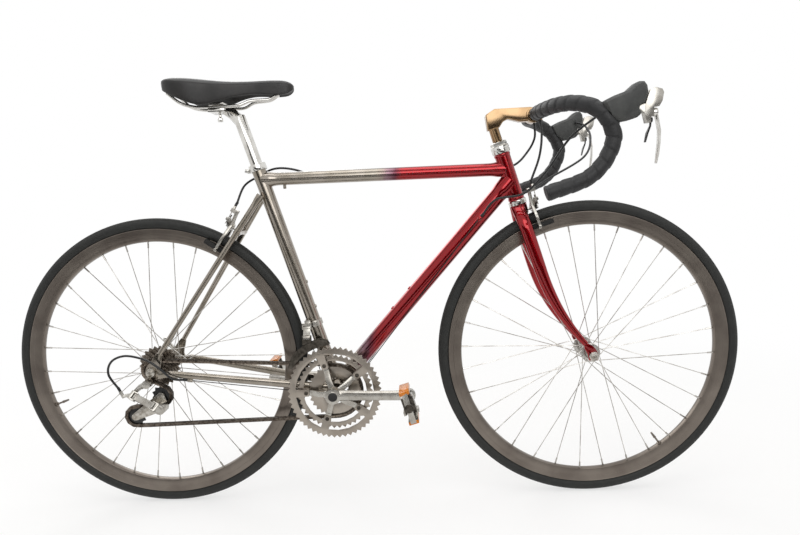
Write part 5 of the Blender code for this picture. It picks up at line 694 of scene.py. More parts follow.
# %% Frame tubes
BB = v(-0.086581, 0, 0.2725)
SEAT_DIR = v(-0.284015, 0, 0.958820)
STEER_DIR = v(-0.292372, 0, 0.956305)
STEER_FRONT = v(0.956305, 0, 0.292372)
DOWN_DIR = v(0.66786, 0, 0.74428)
SEAT_TOP = v(-0.238983, 0, 0.787003)
HEAD_LOW = v(0.338056, 0, 0.687904)
HEAD_HIGH = v(0.306948, 0, 0.789655)
TOP_AT_SEAT = v(-0.2298, 0, 0.756)
TOP_AT_HEAD = v(0.317237, 0, 0.756)
DOWN_END = v(0.32487, 0, 0.73103)
STEER_FOOT = v(0.444421, 0, 0.340)
BRIDGE = v(-0.28865, 0, 0.64005)
BRAKE_BACK = v(-0.82025, 0, 0.57201)


def flared(start, end, radii, joints, flare=0.0026, reach=0.011, squash=None):
    """A tube whose radius runs between two values and swells where each joint begins."""
    length = (end - start).length
    count = max(24, int(length / 0.004))
    line, sizes, flats = [], [], []
    for index in range(count + 1):
        share = index / count
        along = length * share
        swell = 0.0
        if joints[0] is not None:
            swell = max(swell, math.exp(-(max(along - joints[0], 0.0) / reach) ** 2))
        if joints[1] is not None:
            swell = max(swell, math.exp(-(max(length - along - joints[1], 0.0) / reach) ** 2))
        line.append(start.lerp(end, share))
        sizes.append(radii[0] + (radii[1] - radii[0]) * share + flare * swell)
        if squash:
            flats.append(squash[0] + (squash[1] - squash[0]) * share)
    return swept("tube", line, sizes, 48, flats or None)


def plate(outline, hub, low_y, high_y, edge=0.0007):
    """A flat plate from an outline about a hub, with its edges broken by a small bevel."""
    count = len(outline)
    vertices = [(hub.x + x, y, hub.z + z) for y in (low_y, high_y) for x, z in outline]
    faces = [tuple(range(count)), tuple(range(count, 2 * count))]
    faces += [(i, (i + 1) % count, count + (i + 1) % count, count + i) for i in range(count)]
    piece = outward(mesh_piece("plate", vertices, faces))
    select_only(piece)
    bevel = piece.modifiers.new("edge", "BEVEL")
    bevel.width = edge
    bevel.segments = 2
    bevel.limit_method = "ANGLE"
    bevel.angle_limit = math.radians(40)
    bpy.ops.object.modifier_apply(modifier="edge")
    return piece


def rounded(outline, steps=3, pull=0.30):
    """Round the corners of an outline by cutting them twice."""
    for _ in range(steps):
        points = []
        for index, here in enumerate(outline):
            there = outline[(index + 1) % len(outline)]
            points.append((here[0] + (there[0] - here[0]) * pull, here[1] + (there[1] - here[1]) * pull))
            points.append((there[0] + (here[0] - there[0]) * pull, there[1] + (here[1] - there[1]) * pull))
        outline = points
        pull = 0.25
    return outline


def lathe_pin(start, direction, rows, sides=24):
    """A small turned piece standing on a surface."""
    return turned("pin", start, rows, sides, direction, closed=False)


def dropout(side):
    """Dropout plate with its slot, and the gear hanger on the right."""
    outline = [(0.016, -0.004), (0.030, 0.042), (0.016, 0.044), (-0.005, 0.016), (-0.014, 0.006),
               (-0.014, -0.010)]
    if side < 0:
        outline += [(-0.018, -0.022), (-0.018, -0.031), (-0.011, -0.035), (-0.003, -0.034), (0.001, -0.026),
                    (-0.004, -0.016), (-0.0055, 0.001), (0.0, 0.0052), (0.0055, 0.001), (0.0115, -0.018)]
    else:
        outline += [(-0.011, -0.018), (-0.0060, -0.016), (-0.0055, 0.001), (0.0, 0.0052), (0.0055, 0.001),
                    (0.0115, -0.018)]
    outline += [(0.018, -0.016), (0.043, -0.013), (0.043, 0.001)]
    return plate(rounded(outline, 2, 0.22), REAR_HUB, side * 0.0652, side * 0.0708)


def frame_parts():
    """All the frame's tubes, plates, bosses and stops."""
    parts = [flared(BB, SEAT_TOP, (0.0159, 0.0159), (0.022, None)),
             flared(HEAD_LOW, HEAD_HIGH, (0.0171, 0.0171), (None, None)),
             flared(TOP_AT_SEAT, TOP_AT_HEAD, (0.0143, 0.0143), (0.017, 0.018)),
             flared(BB, DOWN_END, (0.0184, 0.0184), (0.022, 0.026), 0.0020),
             turned("shell", BB, [(-0.0375, 0.0102), (-0.0375, 0.0178), (-0.0368, 0.0185),
                                  (-0.0344, 0.0185),
                                  (-0.0340, 0.0192), (-0.0330, 0.0200), (0.0330, 0.0200), (0.0340, 0.0192),
                                  (0.0344, 0.0185), (0.0368, 0.0185), (0.0375, 0.0178), (0.0375, 0.0102)],
                                  64)]
    for ring_foot, direction in ((HEAD_LOW, STEER_DIR), (HEAD_HIGH, -STEER_DIR)):
        parts.append(turned("head_ring", ring_foot, [(0.0003, 0.0150), (0.0003, 0.0178), (0.0010, 0.0182),
                                                     (0.0050, 0.0181), (0.0062, 0.0171), (0.0062, 0.0150)],
                            48, direction))
    for side in (1, -1):
        parts.append(flared(v(-0.09658, side * 0.022, 0.2745), v(-0.455, side * 0.066, 0.333),
                            (0.0100, 0.0075),
                            (0.014, None), 0.0012, 0.010, (0.68, 0.667)))
        parts.append(flared(v(-0.23166, side * 0.017, 0.72177), v(-0.470, side * 0.069, 0.380),
                            (0.0072, 0.0055),
                            (0.006, None), 0.0016, 0.012))
        parts.append(dropout(side))
        parts.append(lathe_pin(v(0.25203, side * 0.0214, 0.64985) - DOWN_DIR * 0.0055, DOWN_DIR,
                               [(0, 0.0014), (0, 0.0040), (0.0006, 0.0044), (0.0104, 0.0044),
                                (0.0110, 0.0040),
                                (0.0110, 0.0014)]))
    parts.append(flared(v(BRIDGE.x, -0.0294, BRIDGE.z), v(BRIDGE.x, 0.0294, BRIDGE.z), (0.0065, 0.0065),
                        (0.007, 0.007),
                        0.0014, 0.006))
    parts.append(flared(v(-0.13798, -0.02708, 0.28126), v(-0.13798, 0.02708, 0.28126), (0.005, 0.005),
                        (0.006, 0.006),
                        0.0012, 0.005))
    for drop in (0.0, 0.060):
        boss = [(0.012, 0.0046), (0.0162, 0.0044), (0.0172, 0.0042), (0.0175, 0.0036), (0.0175, 0.0026),
                (0.0160, 0.0024)]
        parts.append(lathe_pin(BB + SEAT_DIR * (0.1947 + drop), v(0.95882, 0, 0.284015), boss))
        boss = [(along + 0.0025, radius) for along, radius in boss]
        parts.append(lathe_pin(BB + DOWN_DIR * (0.2255 + drop), v(-0.74428, 0, 0.66786), boss))
    for x in (0.21724, -0.0968):
        parts.append(lathe_pin(v(x - 0.0055, 0.0173, 0.756), (1, 0, 0),
                               [(0, 0.0014), (0, 0.0040), (0.0006, 0.0044),
                                                                        (0.0104, 0.0044), (0.0110, 0.0040),
                                                                        (0.0110, 0.0014)]))
    lean = v(-0.97978, -0.12028, 0.15992).normalized()
    parts.append(lathe_pin(v(-0.40984, -0.06046, 0.31463) - lean * 0.0055, lean,
                           [(0, 0.0014), (0, 0.0040), (0.0006, 0.0044), (0.0104, 0.0044), (0.0110, 0.0040),
                            (0.0110, 0.0014)]))
    parts.append(lathe_pin(v(-0.1798, 0, 0.748), (0, 0, -1),
                           [(0, 0.0036), (0.0130, 0.0036), (0.0145, 0.0030),
                                                              (0.0148, 0.0)]))
    return parts


def brake_bolt(seat, direction, length):
    """Brake bolt with its domed nut."""
    return lathe_pin(seat, direction, [(0, 0.0029), (length - 0.0062, 0.0029), (length - 0.0060, 0.0058),
                                       (length - 0.0040, 0.0059), (length - 0.0012, 0.0052),
                                       (length, 0.0030),
                                       (length, 0.0)], 32)


rear_bolt = brake_bolt(BRIDGE, BRAKE_BACK, 0.0360)
frame_body_piece = joined("frame_brazed", frame_parts())
dress(smooth(frame_body_piece, 40), "frame_body", candy_fade, ["frame"])
dress(joined("rear_brake_bolt", [rear_bolt]), "frame_body", polished_aluminium)
print("frame:", len(frame_body_piece.data.polygons), "faces")

# %% [markdown]
# The fork has no separate crown: the two blades curve in and meet the steerer directly.
# The blades are deep ovals at the top and thin out towards the tips, where the rake is.

# %% Fork
BLADE_STATIONS = ((0.000, 0.0040, 0.0085, 0.0150), (0.028, 0.0110, 0.0087, 0.0152),
                  (0.075, 0.0245, 0.0100, 0.0150),
                  (0.13, 0.0315, 0.0100, 0.0147), (0.40, 0.0400, 0.0095, 0.0138),
                  (0.60, 0.0445, 0.0085, 0.0120),
                  (0.76, 0.0485, 0.0072, 0.0095), (0.87, 0.0510, 0.0062, 0.0078),
                  (0.955, 0.0530, 0.0055, 0.0065))
BLADE_DROP, BLADE_SETBACK, BEND_START, RAKE = 0.3518, 0.0040, 0.40, 0.0455
CROWN = STEER_FOOT + STEER_DIR * BLADE_DROP


def blade(side):
    """One raked blade, with its stations joined by smooth curves."""
    shares = [row[0] for row in BLADE_STATIONS]
    fine = np.linspace(0.0, 0.955, 110)
    track = [np.interp(fine, shares, [row[column] for row in BLADE_STATIONS]) for column in (1, 2, 3)]
    kernel = np.hanning(11) / np.hanning(11).sum()
    track = [np.convolve(np.pad(values, 5, mode="edge"), kernel, "valid") for values in track]
    line, deep, flat = [], [], []
    for share, y, wide, depth in zip(fine, *track):
        bend = max(0.0, (share - BEND_START) / (1 - BEND_START)) ** 2.2
        rake = (RAKE + BLADE_SETBACK) * bend - BLADE_SETBACK
        line.append(CROWN - STEER_DIR * (BLADE_DROP * share) + STEER_FRONT * rake + v(0, side * y, 0))
        deep.append(depth)
        flat.append(wide / depth)
    return swept("blade", line, deep, 48, flat)


fork_parts = [turned("steerer", CROWN,
                     [(-0.0240, 0.0), (-0.0240, 0.0155), (-0.0220, 0.0168), (-0.004, 0.0180),
                                        (-0.0006, 0.0184), (0.0, 0.0180), (0.0, 0.0127), (0.1320, 0.0127),
                                        (0.1320, 0.0)],
                     64, STEER_DIR, closed=False)]
tip = [(-0.0215, 0.0190), (-0.0130, 0.0290), (0.0010, 0.0210), (0.0090, 0.0080), (0.0115, -0.0040),
       (0.0090, -0.0120),
       (0.0054, -0.0110), (0.0052, 0.0), (0.0, 0.0054), (-0.0052, 0.0), (-0.0054, -0.0110),
       (-0.0100, -0.0110),
       (-0.0120, 0.0030)]
for side in (1, -1):
    fork_parts += [blade(side), plate(rounded(tip, 2, 0.22), FRONT_HUB, side * 0.0502, side * 0.0558)]
front_bolt = brake_bolt(v(0.34639, 0, 0.66065), STEER_FRONT, 0.0410)
fork_piece = joined("fork_unicrown", fork_parts)
dress(smooth(fork_piece, 40), "fork_body", candy_fade, ["fork"])
dress(joined("front_brake_bolt", [front_bolt]), "fork_body", polished_aluminium)
print("fork:", len(fork_piece.data.polygons), "faces")

# %% [markdown]
# The saddle is a padded shell with thin leather pulled tight over it. It is widest near
# the back, where the sitting bones rest, it narrows quickly to a long nose, and its skirt
# curls under. The shape is lofted from cross sections and then subdivided once.

# %% Saddle
SADDLE_CLAMP = v(-0.31355, 0, 0.91648)
SADDLE_ROWS = ((-0.1095, 0.0300, 0.0500, 0.0470, 0.0405, 0.0415),
               (-0.1060, 0.0520, 0.0575, 0.0500, 0.0365, 0.0400),
               (-0.0980, 0.0640, 0.0625, 0.0505, 0.0300, 0.0375),
               (-0.0800, 0.0708, 0.0638, 0.0478, 0.0215, 0.0360),
               (-0.0640, 0.0722, 0.0630, 0.0455, 0.0125, 0.0350),
               (-0.0480, 0.0716, 0.0618, 0.0438, 0.0058, 0.0340),
               (-0.0340, 0.0680, 0.0604, 0.0418, 0.0008, 0.0334),
               (-0.0200, 0.0630, 0.0588, 0.0402, -0.0006, 0.0328),
               (-0.0060, 0.0562, 0.0572, 0.0399, 0.0028, 0.0323),
               (0.0080, 0.0482, 0.0556, 0.0400, 0.0076, 0.0318),
               (0.0220, 0.0412, 0.0544, 0.0400, 0.0122, 0.0309),
               (0.0400, 0.0338, 0.0533, 0.0401, 0.0180, 0.0300),
               (0.0600, 0.0276, 0.0530, 0.0410, 0.0216, 0.0300),
               (0.0800, 0.0236, 0.0530, 0.0418, 0.0238, 0.0298),
               (0.1000, 0.0217, 0.0533, 0.0420, 0.0222, 0.0280),
               (0.1200, 0.0205, 0.0534, 0.0418, 0.0202, 0.0260),
               (0.1380, 0.0197, 0.0527, 0.0408, 0.0198, 0.0246),
               (0.1530, 0.0180, 0.0512, 0.0396, 0.0206, 0.0244),
               (0.1630, 0.0132, 0.0462, 0.0382, 0.0256, 0.0278),
               (0.1680, 0.0072, 0.0418, 0.0372, 0.0312, 0.0325))


def saddle_section(half, top, shoulder, skirt, under):
    """Half section: a crown that falls in a soft curve to the shoulder, and a skirt that curls under."""
    points = [(half * math.sin(math.radians(a)) ** 0.9 if a else 0.0,
               shoulder + (top - shoulder) * math.cos(math.radians(a)) ** 0.75) for a in (0, 14, 28, 42, 56,
                                                                                          70, 82)]
    points += [(half, shoulder), (half * 0.995, shoulder + (skirt - shoulder) * 0.35),
               (half * 0.982, shoulder + (skirt - shoulder) * 0.75), (half * 0.968, skirt + 0.0006),
               (half * 0.940, skirt), (half * 0.900, skirt + 0.0010), (half * 0.78, (skirt + under) / 2),
               (half * 0.66, under), (half * 0.30, under), (0.0, under)]
    return points


def build_saddle_shell():
    """Loft the sections into one closed shell and subdivide it."""
    rings = []
    for x, half, top, shoulder, skirt, under in SADDLE_ROWS:
        section = saddle_section(half, top, shoulder, skirt, under)
        ring = [SADDLE_CLAMP + v(x, y, z) for y, z in section]
        ring += [SADDLE_CLAMP + v(x, -y, z) for y, z in reversed(section[1:-1])]
        rings.append(ring)
    count = len(rings[0])
    vertices = [point for ring in rings for point in ring]
    faces = [(row * count + i, row * count + (i + 1) % count, (row + 1) * count + (i + 1) % count,
              (row + 1) * count + i)
             for row in range(len(rings) - 1) for i in range(count)]
    for row in (0, len(rings) - 1):
        centre = len(vertices)
        vertices.append(sum(rings[row], Vector()) / count)
        faces += [(row * count + i, row * count + (i + 1) % count, centre) for i in range(count)]
    shell = outward(mesh_piece("saddle_cover", vertices, faces))
    select_only(shell)
    division = shell.modifiers.new("round", "SUBSURF")
    division.levels = 1
    bpy.ops.object.modifier_apply(modifier="round")
    return shell


saddle = build_saddle_shell()
dress(smooth(saddle, 60), "seat_body", saddle_leather, ["saddle"])
print("saddle:", len(saddle.data.polygons), "faces")

# %% [markdown]
# Two polished rails run under the saddle in one bent rod. They are held by the clamp on
# top of the seatpost, and a narrow bright band of plastic closes the back of the shell.

# %% Saddle rails
RAIL_R = 0.0035
RAIL_NOSE = (0.133, 0.0, 0.0212)
RAIL_HALF = ((0.128, 0.006, 0.0200), (0.112, 0.008, 0.0122), (0.075, 0.016, 0.0100), (0.050, 0.022, 0.0008),
             (0.022, 0.022, 0.0), (-0.022, 0.022, 0.0), (-0.046, 0.0235, 0.0012), (-0.075, 0.030, 0.0100),
             (-0.100, 0.038, 0.0315))
rail_knots = [SADDLE_CLAMP + v(x, -y, z) for x, y, z in reversed(RAIL_HALF)]
rail_knots += [SADDLE_CLAMP + v(*RAIL_NOSE)] + [SADDLE_CLAMP + v(*knot) for knot in RAIL_HALF]
rails = swept("saddle_rail_rod", smooth_line(rail_knots, 0.003), RAIL_R, 20)
dress(smooth(rails, 40), "seat_body", polished_aluminium, ["saddle_rails"])
print("rails:", len(rails.data.polygons), "faces")

# %% [markdown]
# Many small forged and stamped parts already have their right form in the working solids,
# but a forging never has knife edges. For these, a copy of the solid is merged, its edges
# are rounded by a bevel of half a millimetre or so, and its curved faces are shaded smooth.

# %% Round the edges of the small parts
EDGE_ANGLE, EDGE_STEPS = 34, 2
SMOOTH_UNDER = 38


def refined(node, body, materials, width_mm):
    """A rounded copy of a working solid that stands for it."""
    piece = bpy.data.objects.new(node + "_fine", solids[node].data.copy())
    bpy.context.scene.collection.objects.link(piece)
    for key in list(piece.data.attributes.keys()):
        if key.startswith("sharp"):
            piece.data.attributes.remove(piece.data.attributes[key])
    select_only(piece)
    bpy.ops.object.mode_set(mode="EDIT")
    bpy.ops.mesh.select_all(action="SELECT")
    bpy.ops.mesh.remove_doubles(threshold=0.00002)
    bpy.ops.mesh.dissolve_limited(angle_limit=math.radians(2.0))
    bpy.ops.mesh.normals_make_consistent(inside=False)
    bpy.ops.object.mode_set(mode="OBJECT")
    if width_mm:
        bevel = piece.modifiers.new("edge", "BEVEL")
        bevel.width = width_mm * MM
        bevel.segments = EDGE_STEPS
        bevel.limit_method = "ANGLE"
        bevel.angle_limit = math.radians(EDGE_ANGLE)
        bevel.use_clamp_overlap = True
        bpy.ops.object.modifier_apply(modifier="edge")
    dress(piece, body, materials, [node])
    return smooth(piece, SMOOTH_UNDER)


SMALL_PARTS = (
    ("seatpost", "seat_body", polished_aluminium, 0.5),
    ("seat_collar", "frame_body", polished_aluminium, 0.7),
    ("stem", "fork_body", cold_forged, 1.2), ("hood_left", "fork_body", hood_rubber, 1.6),
    ("hood_right", "fork_body", hood_rubber, 1.6),
    ("lever_head_left", "lever_head_left_body", forged_aluminium, 0.9),
    ("lever_head_right", "lever_head_right_body", forged_aluminium, 0.9),
    ("lever_blade_left", "lever_blade_left_body", polished_aluminium, 0.6),
    ("lever_blade_right", "lever_blade_right_body", polished_aluminium, 0.6),
    ("paddle_left", "paddle_left_body", black_plastic, 0.5),
    ("paddle_right", "paddle_right_body", black_plastic, 0.5),
    ("crank_right", "crank_body", forged_aluminium, 0.9),
    ("crank_left", "crank_body", forged_aluminium, 0.9),
    ("chainring_52", "crank_body", ring_aluminium, 0.2),
    ("chainring_42", "crank_body", ring_aluminium, 0.2),
    ("chainring_30", "crank_body", ring_aluminium, 0.2),
    ("cassette", "cassette_body", cassette_steel, 0.15),
    ("fd_bracket", "frame_body", forged_aluminium, 0.5), ("fd_link", "fd_link_body", forged_aluminium, 0.4),
    ("fd_cage", "fd_cage_body", dark_steel, 0.2),
    ("rd_b_knuckle", "rd_b_knuckle_body", forged_aluminium, 0.9),
    ("rd_link_outer", "rd_link_outer_body", forged_aluminium, 0.7),
    ("rd_link_inner", "rd_link_inner_body", forged_aluminium, 0.5),
    ("rd_p_knuckle", "rd_p_knuckle_body", forged_aluminium, 0.9),
    ("rd_cage", "rd_cage_body", plated_steel, 0.3),
    ("guide_pulley", "guide_pulley_body", black_plastic, 0.2),
    ("tension_pulley", "tension_pulley_body", black_plastic, 0.2),
    ("front_brake_qr", "front_brake_release_body", dark_steel, 0.4),
    ("rear_brake_qr", "rear_brake_release_body", dark_steel, 0.4),
    ("front_axle", "fork_body", plated_steel, 0.5), ("rear_axle", "frame_body", plated_steel, 0.5),
    ("front_qr_lever", "front_release_body", polished_aluminium, 0.5),
    ("rear_qr_lever", "rear_release_body", polished_aluminium, 0.5))
for row in SMALL_PARTS:
    refined(*row)
refined("chain", "frame_body", oiled_steel, 0.0)
print("rounded parts:", len(SMALL_PARTS) + 1)

# %% [markdown]
# The brake arms are forgings that carry black rubber pads, and the pedals are bright alloy
# about a dark barrel, with an amber reflector in each end. The rubber and amber faces are
# found by their place, because a pad and its arm are one solid here.

# %% Brake arms with pads, and pedals with reflectors
def on_brake_pad(face_centre, seat, front, reach, layer):
    """Whether a face belongs to the rubber pad of a brake arm."""
    offset = face_centre - seat
    up = front.cross(v(0, 1, 0))
    up = up if up.z > 0 else -up
    return (abs(offset.dot(front) - layer) < 0.0262 and offset.dot(up) < -reach + 0.0068
            and offset.dot(up) > -reach - 0.0066 and 0.0119 < abs(offset.y) < 0.0222
            and not (abs(offset.dot(front) - layer) < 0.0080 and abs(offset.y) > 0.0218))


for end, seat, front, reach, layer in (("front", v(0.34639, 0, 0.66065), STEER_FRONT, 0.04091, 0.0344),
                                       ("rear", BRIDGE, BRAKE_BACK, 0.05584, 0.0294)):
    for side in ("left", "right"):
        arm = refined("%s_brake_arm_%s" % (end, side), "%s_brake_%s_body" % (end, side),
                      [forged_aluminium, pad_rubber], 0.6)
        for face in arm.data.polygons:
            if on_brake_pad(face.center, seat, front, reach, layer):
                face.material_index = 1
PEDAL_TILT, CRANK_TILT = math.radians(-74.0), math.radians(1.0)
CRANK_LENGTH = 0.170
REFLECTOR_FROM, BARREL_RADIUS = 0.0300, 0.0098
PEDAL_WAY = v(math.cos(PEDAL_TILT), 0, math.sin(PEDAL_TILT))
CRANK_WAY = v(math.cos(CRANK_TILT), 0, math.sin(CRANK_TILT))
for side, turn in (("left", -1), ("right", 1)):
    pedal = refined("pedal_" + side, "pedal_%s_body" % side, [forged_aluminium, amber_plastic, dark_steel],
                    0.4)
    centre = BB + CRANK_WAY * (CRANK_LENGTH * turn)
    for face in pedal.data.polygons:
        offset = face.center - centre
        if abs(offset.dot(PEDAL_WAY)) > REFLECTOR_FROM:
            face.material_index = 1
        elif math.hypot(offset.x, offset.z) < BARREL_RADIUS:
            face.material_index = 2

# %% [markdown]
# Five short bolts hold the two larger rings to the spider, and a dark dust cap hides the
# bolt in the middle of each crank.

# %% Ring bolts and dust caps
RING_FACE_Y, BOLT_CIRCLE = -0.0515, 0.065
bolts = []
for arm in range(5):
    angle = math.radians(36.0 + 72 * arm)
    place = v(BB.x + BOLT_CIRCLE * math.cos(angle), RING_FACE_Y, BB.z + BOLT_CIRCLE * math.sin(angle))
    bolts.append(turned("ring_bolt", place, [(0.0, 0.0), (0.0, 0.0046), (0.0009, 0.0046), (0.0013, 0.0040),
                                             (0.0013, 0.0024), (0.0004, 0.0022), (0.0004, 0.0)],
                        20, v(0, -1, 0), closed=False))
dress(smooth(joined("ring_bolts", bolts), 30), "crank_body", dark_steel, [])
for side, turn in (("left", 1), ("right", -1)):
    cap = turned("dust_cap_" + side, v(BB.x, turn * 0.0822, BB.z),
                 [(0.0, 0.0), (0.0, 0.0103), (0.0007, 0.0103), (0.0012, 0.0092), (0.0008, 0.0060),
                  (0.0008, 0.0)],
                 32, v(0, turn, 0), closed=False)
    dress(smooth(cap, 30), "crank_body", black_plastic, [])
print("brake arms, pedals and ring bolts are finished")

# %% [markdown]
# The headset's cups are turned and polished, with a dark seam where the bearing sits, and
# a locknut holds them from above. The bar is a bent tube that shows its metal only beside
# the stem. Both are remade here with many facets, because their outlines are bright.

# %% Headset and bar
lower_cup = turned("lower_cup", HEAD_LOW,
                   [(-0.0003, 0.0150), (-0.0003, 0.0184), (-0.0016, 0.0199), (-0.0050, 0.0205),
                                           (-0.0062, 0.0202), (-0.0066, 0.0189), (-0.0072, 0.0189),
                                           (-0.0076, 0.0202),
                                           (-0.0108, 0.0202), (-0.0117, 0.0193), (-0.0117, 0.0150)], 64,
                                           STEER_DIR)
upper_cup = turned("upper_cup", HEAD_HIGH,
                   [(0.0003, 0.0150), (0.0003, 0.0180), (0.0014, 0.0197), (0.0070, 0.0204),
                                            (0.0080, 0.0203), (0.0084, 0.0187), (0.0094, 0.0187),
                                            (0.0099, 0.0203),
                                            (0.0160, 0.0203), (0.0174, 0.0196), (0.0177, 0.0185),
                                            (0.0177, 0.0150)],
                   64, STEER_DIR)
locknut = turned("locknut", HEAD_HIGH,
                 [(0.0183, 0.0131), (0.0183, 0.0176), (0.0192, 0.0184), (0.0255, 0.0184),
                                        (0.0268, 0.0172), (0.0277, 0.0150), (0.0277, 0.0131)], 8, STEER_DIR)
dress(smooth(lower_cup, 30), "frame_body", polished_aluminium, ["headset_cup_lower"])
dress(smooth(upper_cup, 30), "frame_body", polished_aluminium, ["headset_cup_upper"])
dress(smooth(locknut, 30), "fork_body", polished_aluminium, ["headset_locknut"])

BAR_CENTRE = v(0.375539, 0, 0.868837)
BAR_KNOTS = ((0.0, 0.034, 0.0), (0.0060, 0.090, 0.0008), (0.0200, 0.135, 0.0025), (0.0430, 0.1760, 0.0),
             (0.0700, 0.2020, -0.0110), (0.0930, 0.210, -0.0310), (0.1072, 0.210, -0.0640),
             (0.1010, 0.210, -0.0930),
             (0.0830, 0.210, -0.1220), (0.0520, 0.210, -0.1455), (-0.0131, 0.210, -0.1663))


def half_bar(side, step=0.004):
    """Smooth centre line of half the bar."""
    return smooth_line([BAR_CENTRE + v(x, side * y, z) for x, y, z in BAR_KNOTS], step)


bar_line = list(reversed(half_bar(-1))) + half_bar(1)
bar = swept("bar_tube", bar_line, 0.0118, 32)
dress(smooth(bar, 40), "fork_body", polished_aluminium, ["handlebar"])
print("bar:", len(bar.data.polygons), "faces")

# %% [markdown]
# Bar tape is a padded strip wound in a spiral. Each turn overlaps the one before, so the
# bar gets a row of slanting ridges. It is made as a tube whose radius rises slowly along
# each turn and drops at its edge. A plug closes the end of the bar.

# %% Wound bar tape
TURN_PITCH = 0.024


def wound(name, line, low, high, segments=40):
    """A tube whose radius follows the overlapping turns of a wound strip."""
    travelled = 0.0
    side = v(0, 0, 1)
    vertices = []
    for index, point in enumerate(line):
        near, far = line[max(index - 1, 0)], line[min(index + 1, len(line) - 1)]
        if index:
            travelled += (point - line[index - 1]).length
        tangent = (far - near).normalized()
        side = (side - tangent * side.dot(tangent)).normalized()
        other = tangent.cross(side)
        for step in range(segments):
            share = step / segments
            turn = (travelled / TURN_PITCH + share) % 1.0
            rise = turn / 0.86 if turn < 0.86 else (1.0 - turn) / 0.14
            radius = low + (high - low) * math.sin(rise * math.pi / 2) ** 0.7
            angle = math.tau * share
            vertices.append(point + (side * math.cos(angle) + other * math.sin(angle)) * radius)
    rows = len(line)
    faces = [(row * segments + i, row * segments + (i + 1) % segments,
              (row + 1) * segments + (i + 1) % segments,
              (row + 1) * segments + i) for row in range(rows - 1) for i in range(segments)]
    faces += [tuple(range(segments)), tuple((rows - 1) * segments + i for i in reversed(range(segments)))]
    return outward(mesh_piece(name, vertices, faces))


for name, side in (("left", 1), ("right", -1)):
    line = half_bar(side, 0.0016)
    tape = wound("tape", line[3:], 0.0138, 0.0153)
    way = (line[-1] - line[-3]).normalized()
    plug = turned("plug", line[-1],
                  [(0.0, 0.0), (0.0, 0.0146), (0.0030, 0.0148), (0.0046, 0.0138), (0.0050, 0.0110),
                                     (0.0050, 0.0)], 40, way, closed=False)
    for face in plug.data.polygons:
        face.material_index = 1
    tape = joined("bar_tape_%s_wound" % name, [tape, plug])
    dress(smooth(tape, 55), "fork_body", [bar_tape, black_plastic],
          ["bar_tape_" + name])
    print(tape.name, len(tape.data.polygons), "faces")

# %% [markdown]
# The brake and gear cables run in smooth black casings that end in metal ferrules, and
# between the frame's stops the inner wire is bare. Each route is drawn through the points
# that the working solids use, so the cables leave and enter at the same places.

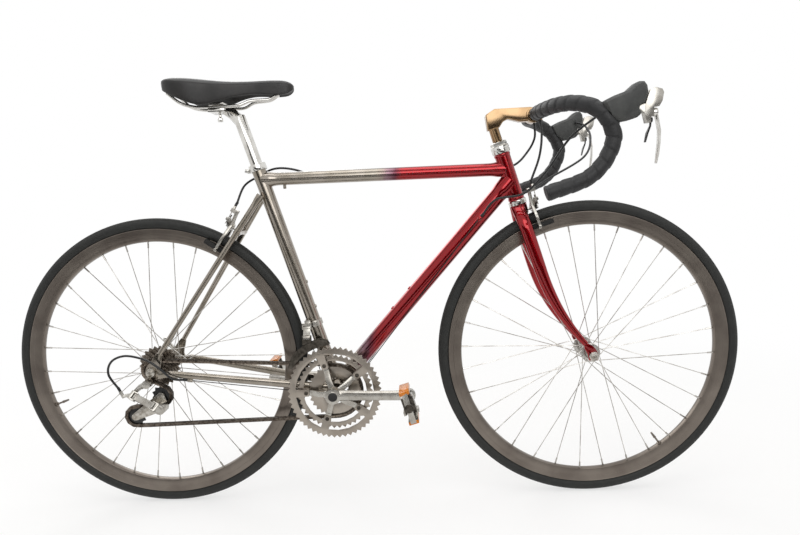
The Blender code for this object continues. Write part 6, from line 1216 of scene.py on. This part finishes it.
# %% Cables
CASING_R, WIRE_R = 0.0025, 0.0010
CABLES = {
    "cable_front_brake": ("fork_body", [("casing", [
        (0.3861, -0.0325, 0.8556), (0.3861, -0.0325, 0.8496), (0.3880, -0.0340, 0.8288),
        (0.3860, -0.0350, 0.7988),
        (0.3795, -0.0345, 0.7688), (0.3639, -0.0340, 0.7270), (0.3656, -0.0340, 0.7212)])]),
    "cable_rear_brake": ("frame_body", [("casing", [
        (0.3861, 0.0325, 0.8556), (0.3861, 0.0325, 0.8496), (0.3870, 0.0380, 0.8238),
        (0.3732, 0.0430, 0.7960),
        (0.3422, 0.0420, 0.7660), (0.2872, 0.0300, 0.7530), (0.2290, 0.0173, 0.7560),
        (0.2230, 0.0173, 0.7560)]),
        ("wire", [(0.2227, 0.0173, 0.7560), (-0.1023, 0.0173, 0.7560)]),
        ("casing", [(-0.1026, 0.0173, 0.7560), (-0.1086, 0.0173, 0.7560), (-0.1598, 0.0190, 0.7760),
                    (-0.2048, 0.0220, 0.7800), (-0.2448, 0.0240, 0.7640), (-0.2728, 0.0060, 0.7440),
                    (-0.2808, -0.0340, 0.7057), (-0.2843, -0.0340, 0.7008)])]),
    "shift_cable_right": ("frame_body", [("casing", [
        (0.5207, -0.1932, 0.8683), (0.5207, -0.1872, 0.8683), (0.5077, -0.1550, 0.8653),
        (0.4727, -0.1150, 0.8433),
        (0.4327, -0.0850, 0.8083), (0.3931, -0.0600, 0.7479), (0.3481, -0.0400, 0.7019),
        (0.2888, -0.0294, 0.6908),
        (0.2599, -0.0214, 0.6586), (0.2559, -0.0214, 0.6542)]),
        ("wire", [(0.2557, -0.0214, 0.6539), (0.2484, -0.0214, 0.6458), (-0.0716, -0.0100, 0.2489),
                  (-0.0906, -0.0080, 0.2485), (-0.1126, -0.0150, 0.2575), (-0.4045, -0.0598, 0.3137),
                  (-0.4152, -0.0611, 0.3155)]),
        ("casing", [(-0.4155, -0.0612, 0.3156), (-0.4214, -0.0619, 0.3165), (-0.4440, -0.0765, 0.3250),
                    (-0.4690, -0.0840, 0.3530), (-0.4950, -0.0880, 0.3730), (-0.5370, -0.0900, 0.3840),
                    (-0.5700, -0.0890, 0.3720), (-0.5820, -0.0850, 0.3420), (-0.5660, -0.0780, 0.3055),
                    (-0.5635, -0.0780, 0.3000)])]),
    "shift_cable_left": ("frame_body", [("casing", [
        (0.5207, 0.1932, 0.8683), (0.5207, 0.1872, 0.8683), (0.5347, 0.1600, 0.8563),
        (0.5377, 0.1250, 0.8233),
        (0.5127, 0.0950, 0.7783), (0.4281, 0.0750, 0.7329), (0.3681, 0.0480, 0.7039),
        (0.2888, 0.0294, 0.6908),
        (0.2599, 0.0214, 0.6586), (0.2559, 0.0214, 0.6542)]),
        ("wire", [(0.2557, 0.0214, 0.6539), (0.2484, 0.0214, 0.6458), (-0.0716, 0.0100, 0.2489),
                  (-0.0906, 0.0080, 0.2485), (-0.1126, -0.0030, 0.2615), (-0.1445, -0.0260, 0.4138)])]),
}


def add_cable(name, body, stretches):
    """One cable: casings, bare wire and the ferrules at each casing's ends."""
    parts = []
    for kind, knots in stretches:
        if kind == "wire":
            parts.append(swept("wire", [Vector(knot) for knot in knots], WIRE_R, 10))
            for face in parts[-1].data.polygons:
                face.material_index = 1
            continue
        line = smooth_line(knots, 0.003)
        parts.append(swept("casing", line, CASING_R, 16))
        for tip, inner in ((line[0], line[2]), (line[-1], line[-3])):
            way = (inner - tip).normalized()
            ferrule = turned("ferrule", tip, [(0.0, 0.0), (0.0, 0.0028), (0.0006, 0.0031), (0.0095, 0.0031),
                                              (0.0100, 0.0026), (0.0100, 0.0)], 20, way, closed=False)
            for face in ferrule.data.polygons:
                face.material_index = 2
            parts.append(ferrule)
    whole = joined(name + "_run", parts)
    dress(smooth(whole, 35), body, [black_plastic, stainless_spoke, plated_steel], [name])
    return whole


for name, (body, stretches) in CABLES.items():
    run = add_cable(name, body, stretches)
    print(run.name, len(run.data.polygons), "faces")
